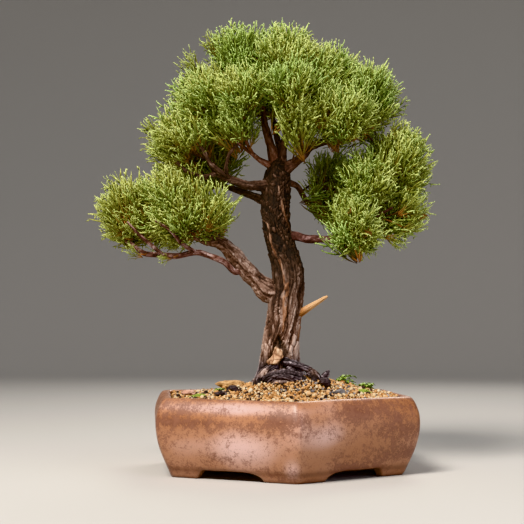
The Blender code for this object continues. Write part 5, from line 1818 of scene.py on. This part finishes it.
# %% Grow every clump
WARMTH = {"mid_left": 0.24, "lower_left": 0.24, "upper_left": 0.10, "right": 0.04, "crown_right_end": 0.10}
rng = np.random.default_rng(17)
total_faces = 0
for name in CLUMPS:
    tips, normals, creases = exposed_points(name, rng, SPARSE.get(name, TIP_SPACING))
    axes, tips = spray_axes(name, tips, normals, creases, rng)
    stays = ~left_out(name, tips, normals, axes)
    tips, normals, axes = tips[stays], normals[stays], axes[stays]
    low_side = normals[:, 2] < -0.3
    sizes = rng.uniform(0.78, 1.15, len(tips)) * np.where(rng.uniform(size=len(tips)) < 0.08, 1.25, 1.0)
    sizes = np.where(low_side, sizes * 0.75, sizes)
    warmth = next((more for part, more in WARMTH.items() if part in name), 0.0)
    tones = 0.46 + warmth + 0.7 * (noise3(tips / (30 * MM), 61) - 0.5) + rng.normal(size=len(tips)) * 0.14
    lift = np.where(low_side, 0.30, 0.12)
    shells = copies(tips - normals * 1.5 * MM, axes, sizes, tones.clip(0.08, 0.90), lift, rng)
    shells += twigs(tips - axes * (SPRAY_FOOT * sizes)[:, None], rng)
    mesh = make_mesh(name + "_sprays", shells)
    total_faces += len(mesh.polygons)
    add_piece(name + "_sprays", mesh, shoot_finish, "juniper_foliage", name)
print("foliage faces in all:", total_faces)

# %% [markdown]
# A few sprigs stand clear of the rest and give the tree its ragged outline: long ones out of the crown and
# the two side pads, a pale fan in front of the leaders, and three open ones low on the right, on bare
# reddish twigs. They are placed one by one: where the twig starts, where the fan's foot is, and where its
# tips end.

# %% Sprigs that stand clear
SPRIGS_CLEAR = [
    ((-85, 0, 385), (-80, -4, 394), (-100, -10, 413)),
    ((-60, 0, 405), (-64, -4, 413), (-76, -8, 436)),
    ((-110, 0, 325), (-116, -4, 329), (-138, -8, 345.5)),
    ((-105, 0, 310), (-113, -6, 311), (-134, -12, 320)),
    ((-150, 0, 275), (-156, -6, 279), (-176, -10, 289.5)),
    ((-150, 0, 250), (-160, -10, 249), (-183, -12, 258.5)),
    ((98, -10, 325), (105, -14, 329), (127, -18, 341.5)),
    ((125, -10, 285), (131, -16, 289), (152, -18, 304.5)),
    ((12, -10, 303), (19, -40, 312), (-3, -56, 350)),
    ((12, -10, 303), (19.5, -41, 313.5), (7, -60, 356)),
    ((12, -10, 303), (20, -41, 313), (19, -60, 356)),
    ((14, -10, 304), (21.5, -40, 313), (34, -56, 342)),
    ((-28, -11, 311.5), (-31, -20, 318), (-25, -28, 340)),
    ((86, -20, 248), (115, -34, 253), (143, -40, 267)),
    ((90, -20, 246), (118, -34, 237), (140, -42, 244)),
    ((86, -20, 238), (102, -34, 230), (122, -40, 221.5)),
    ((70, -20, 229), (84, -36, 224), (88, -46, 208)),
    ((-90, -20, 228), (-76, -30, 236), (-52, -40, 260)),
    ((-90, -20, 230), (-76, -30, 245), (-53, -40, 276)),
    ((-132, -20, 212), (-138, -28, 211), (-153, -34, 217.5)),
    ((-100, -24, 211), (-106, -32, 208), (-121, -38, 206)),
]
rng = np.random.default_rng(23)
roots, feet, tips = (np.array([row[k] for row in SPRIGS_CLEAR]) * MM + AXIS for k in range(3))
reach = np.linalg.norm(tips - feet, axis=1)
tone, lift = np.full(len(tips), 0.62), np.full(len(tips), 0.12)
shells = copies(tips, unit(tips - feet), reach / SPRAY_LENGTH, tone, lift, rng)
shells.append(arcs(roots, feet, 1.1 * MM, 0.75 * MM, 0.4, rng, (0.10, 0.36)))
add_piece("clear_sprigs", make_mesh("clear_sprigs", shells), shoot_finish, "juniper_foliage")
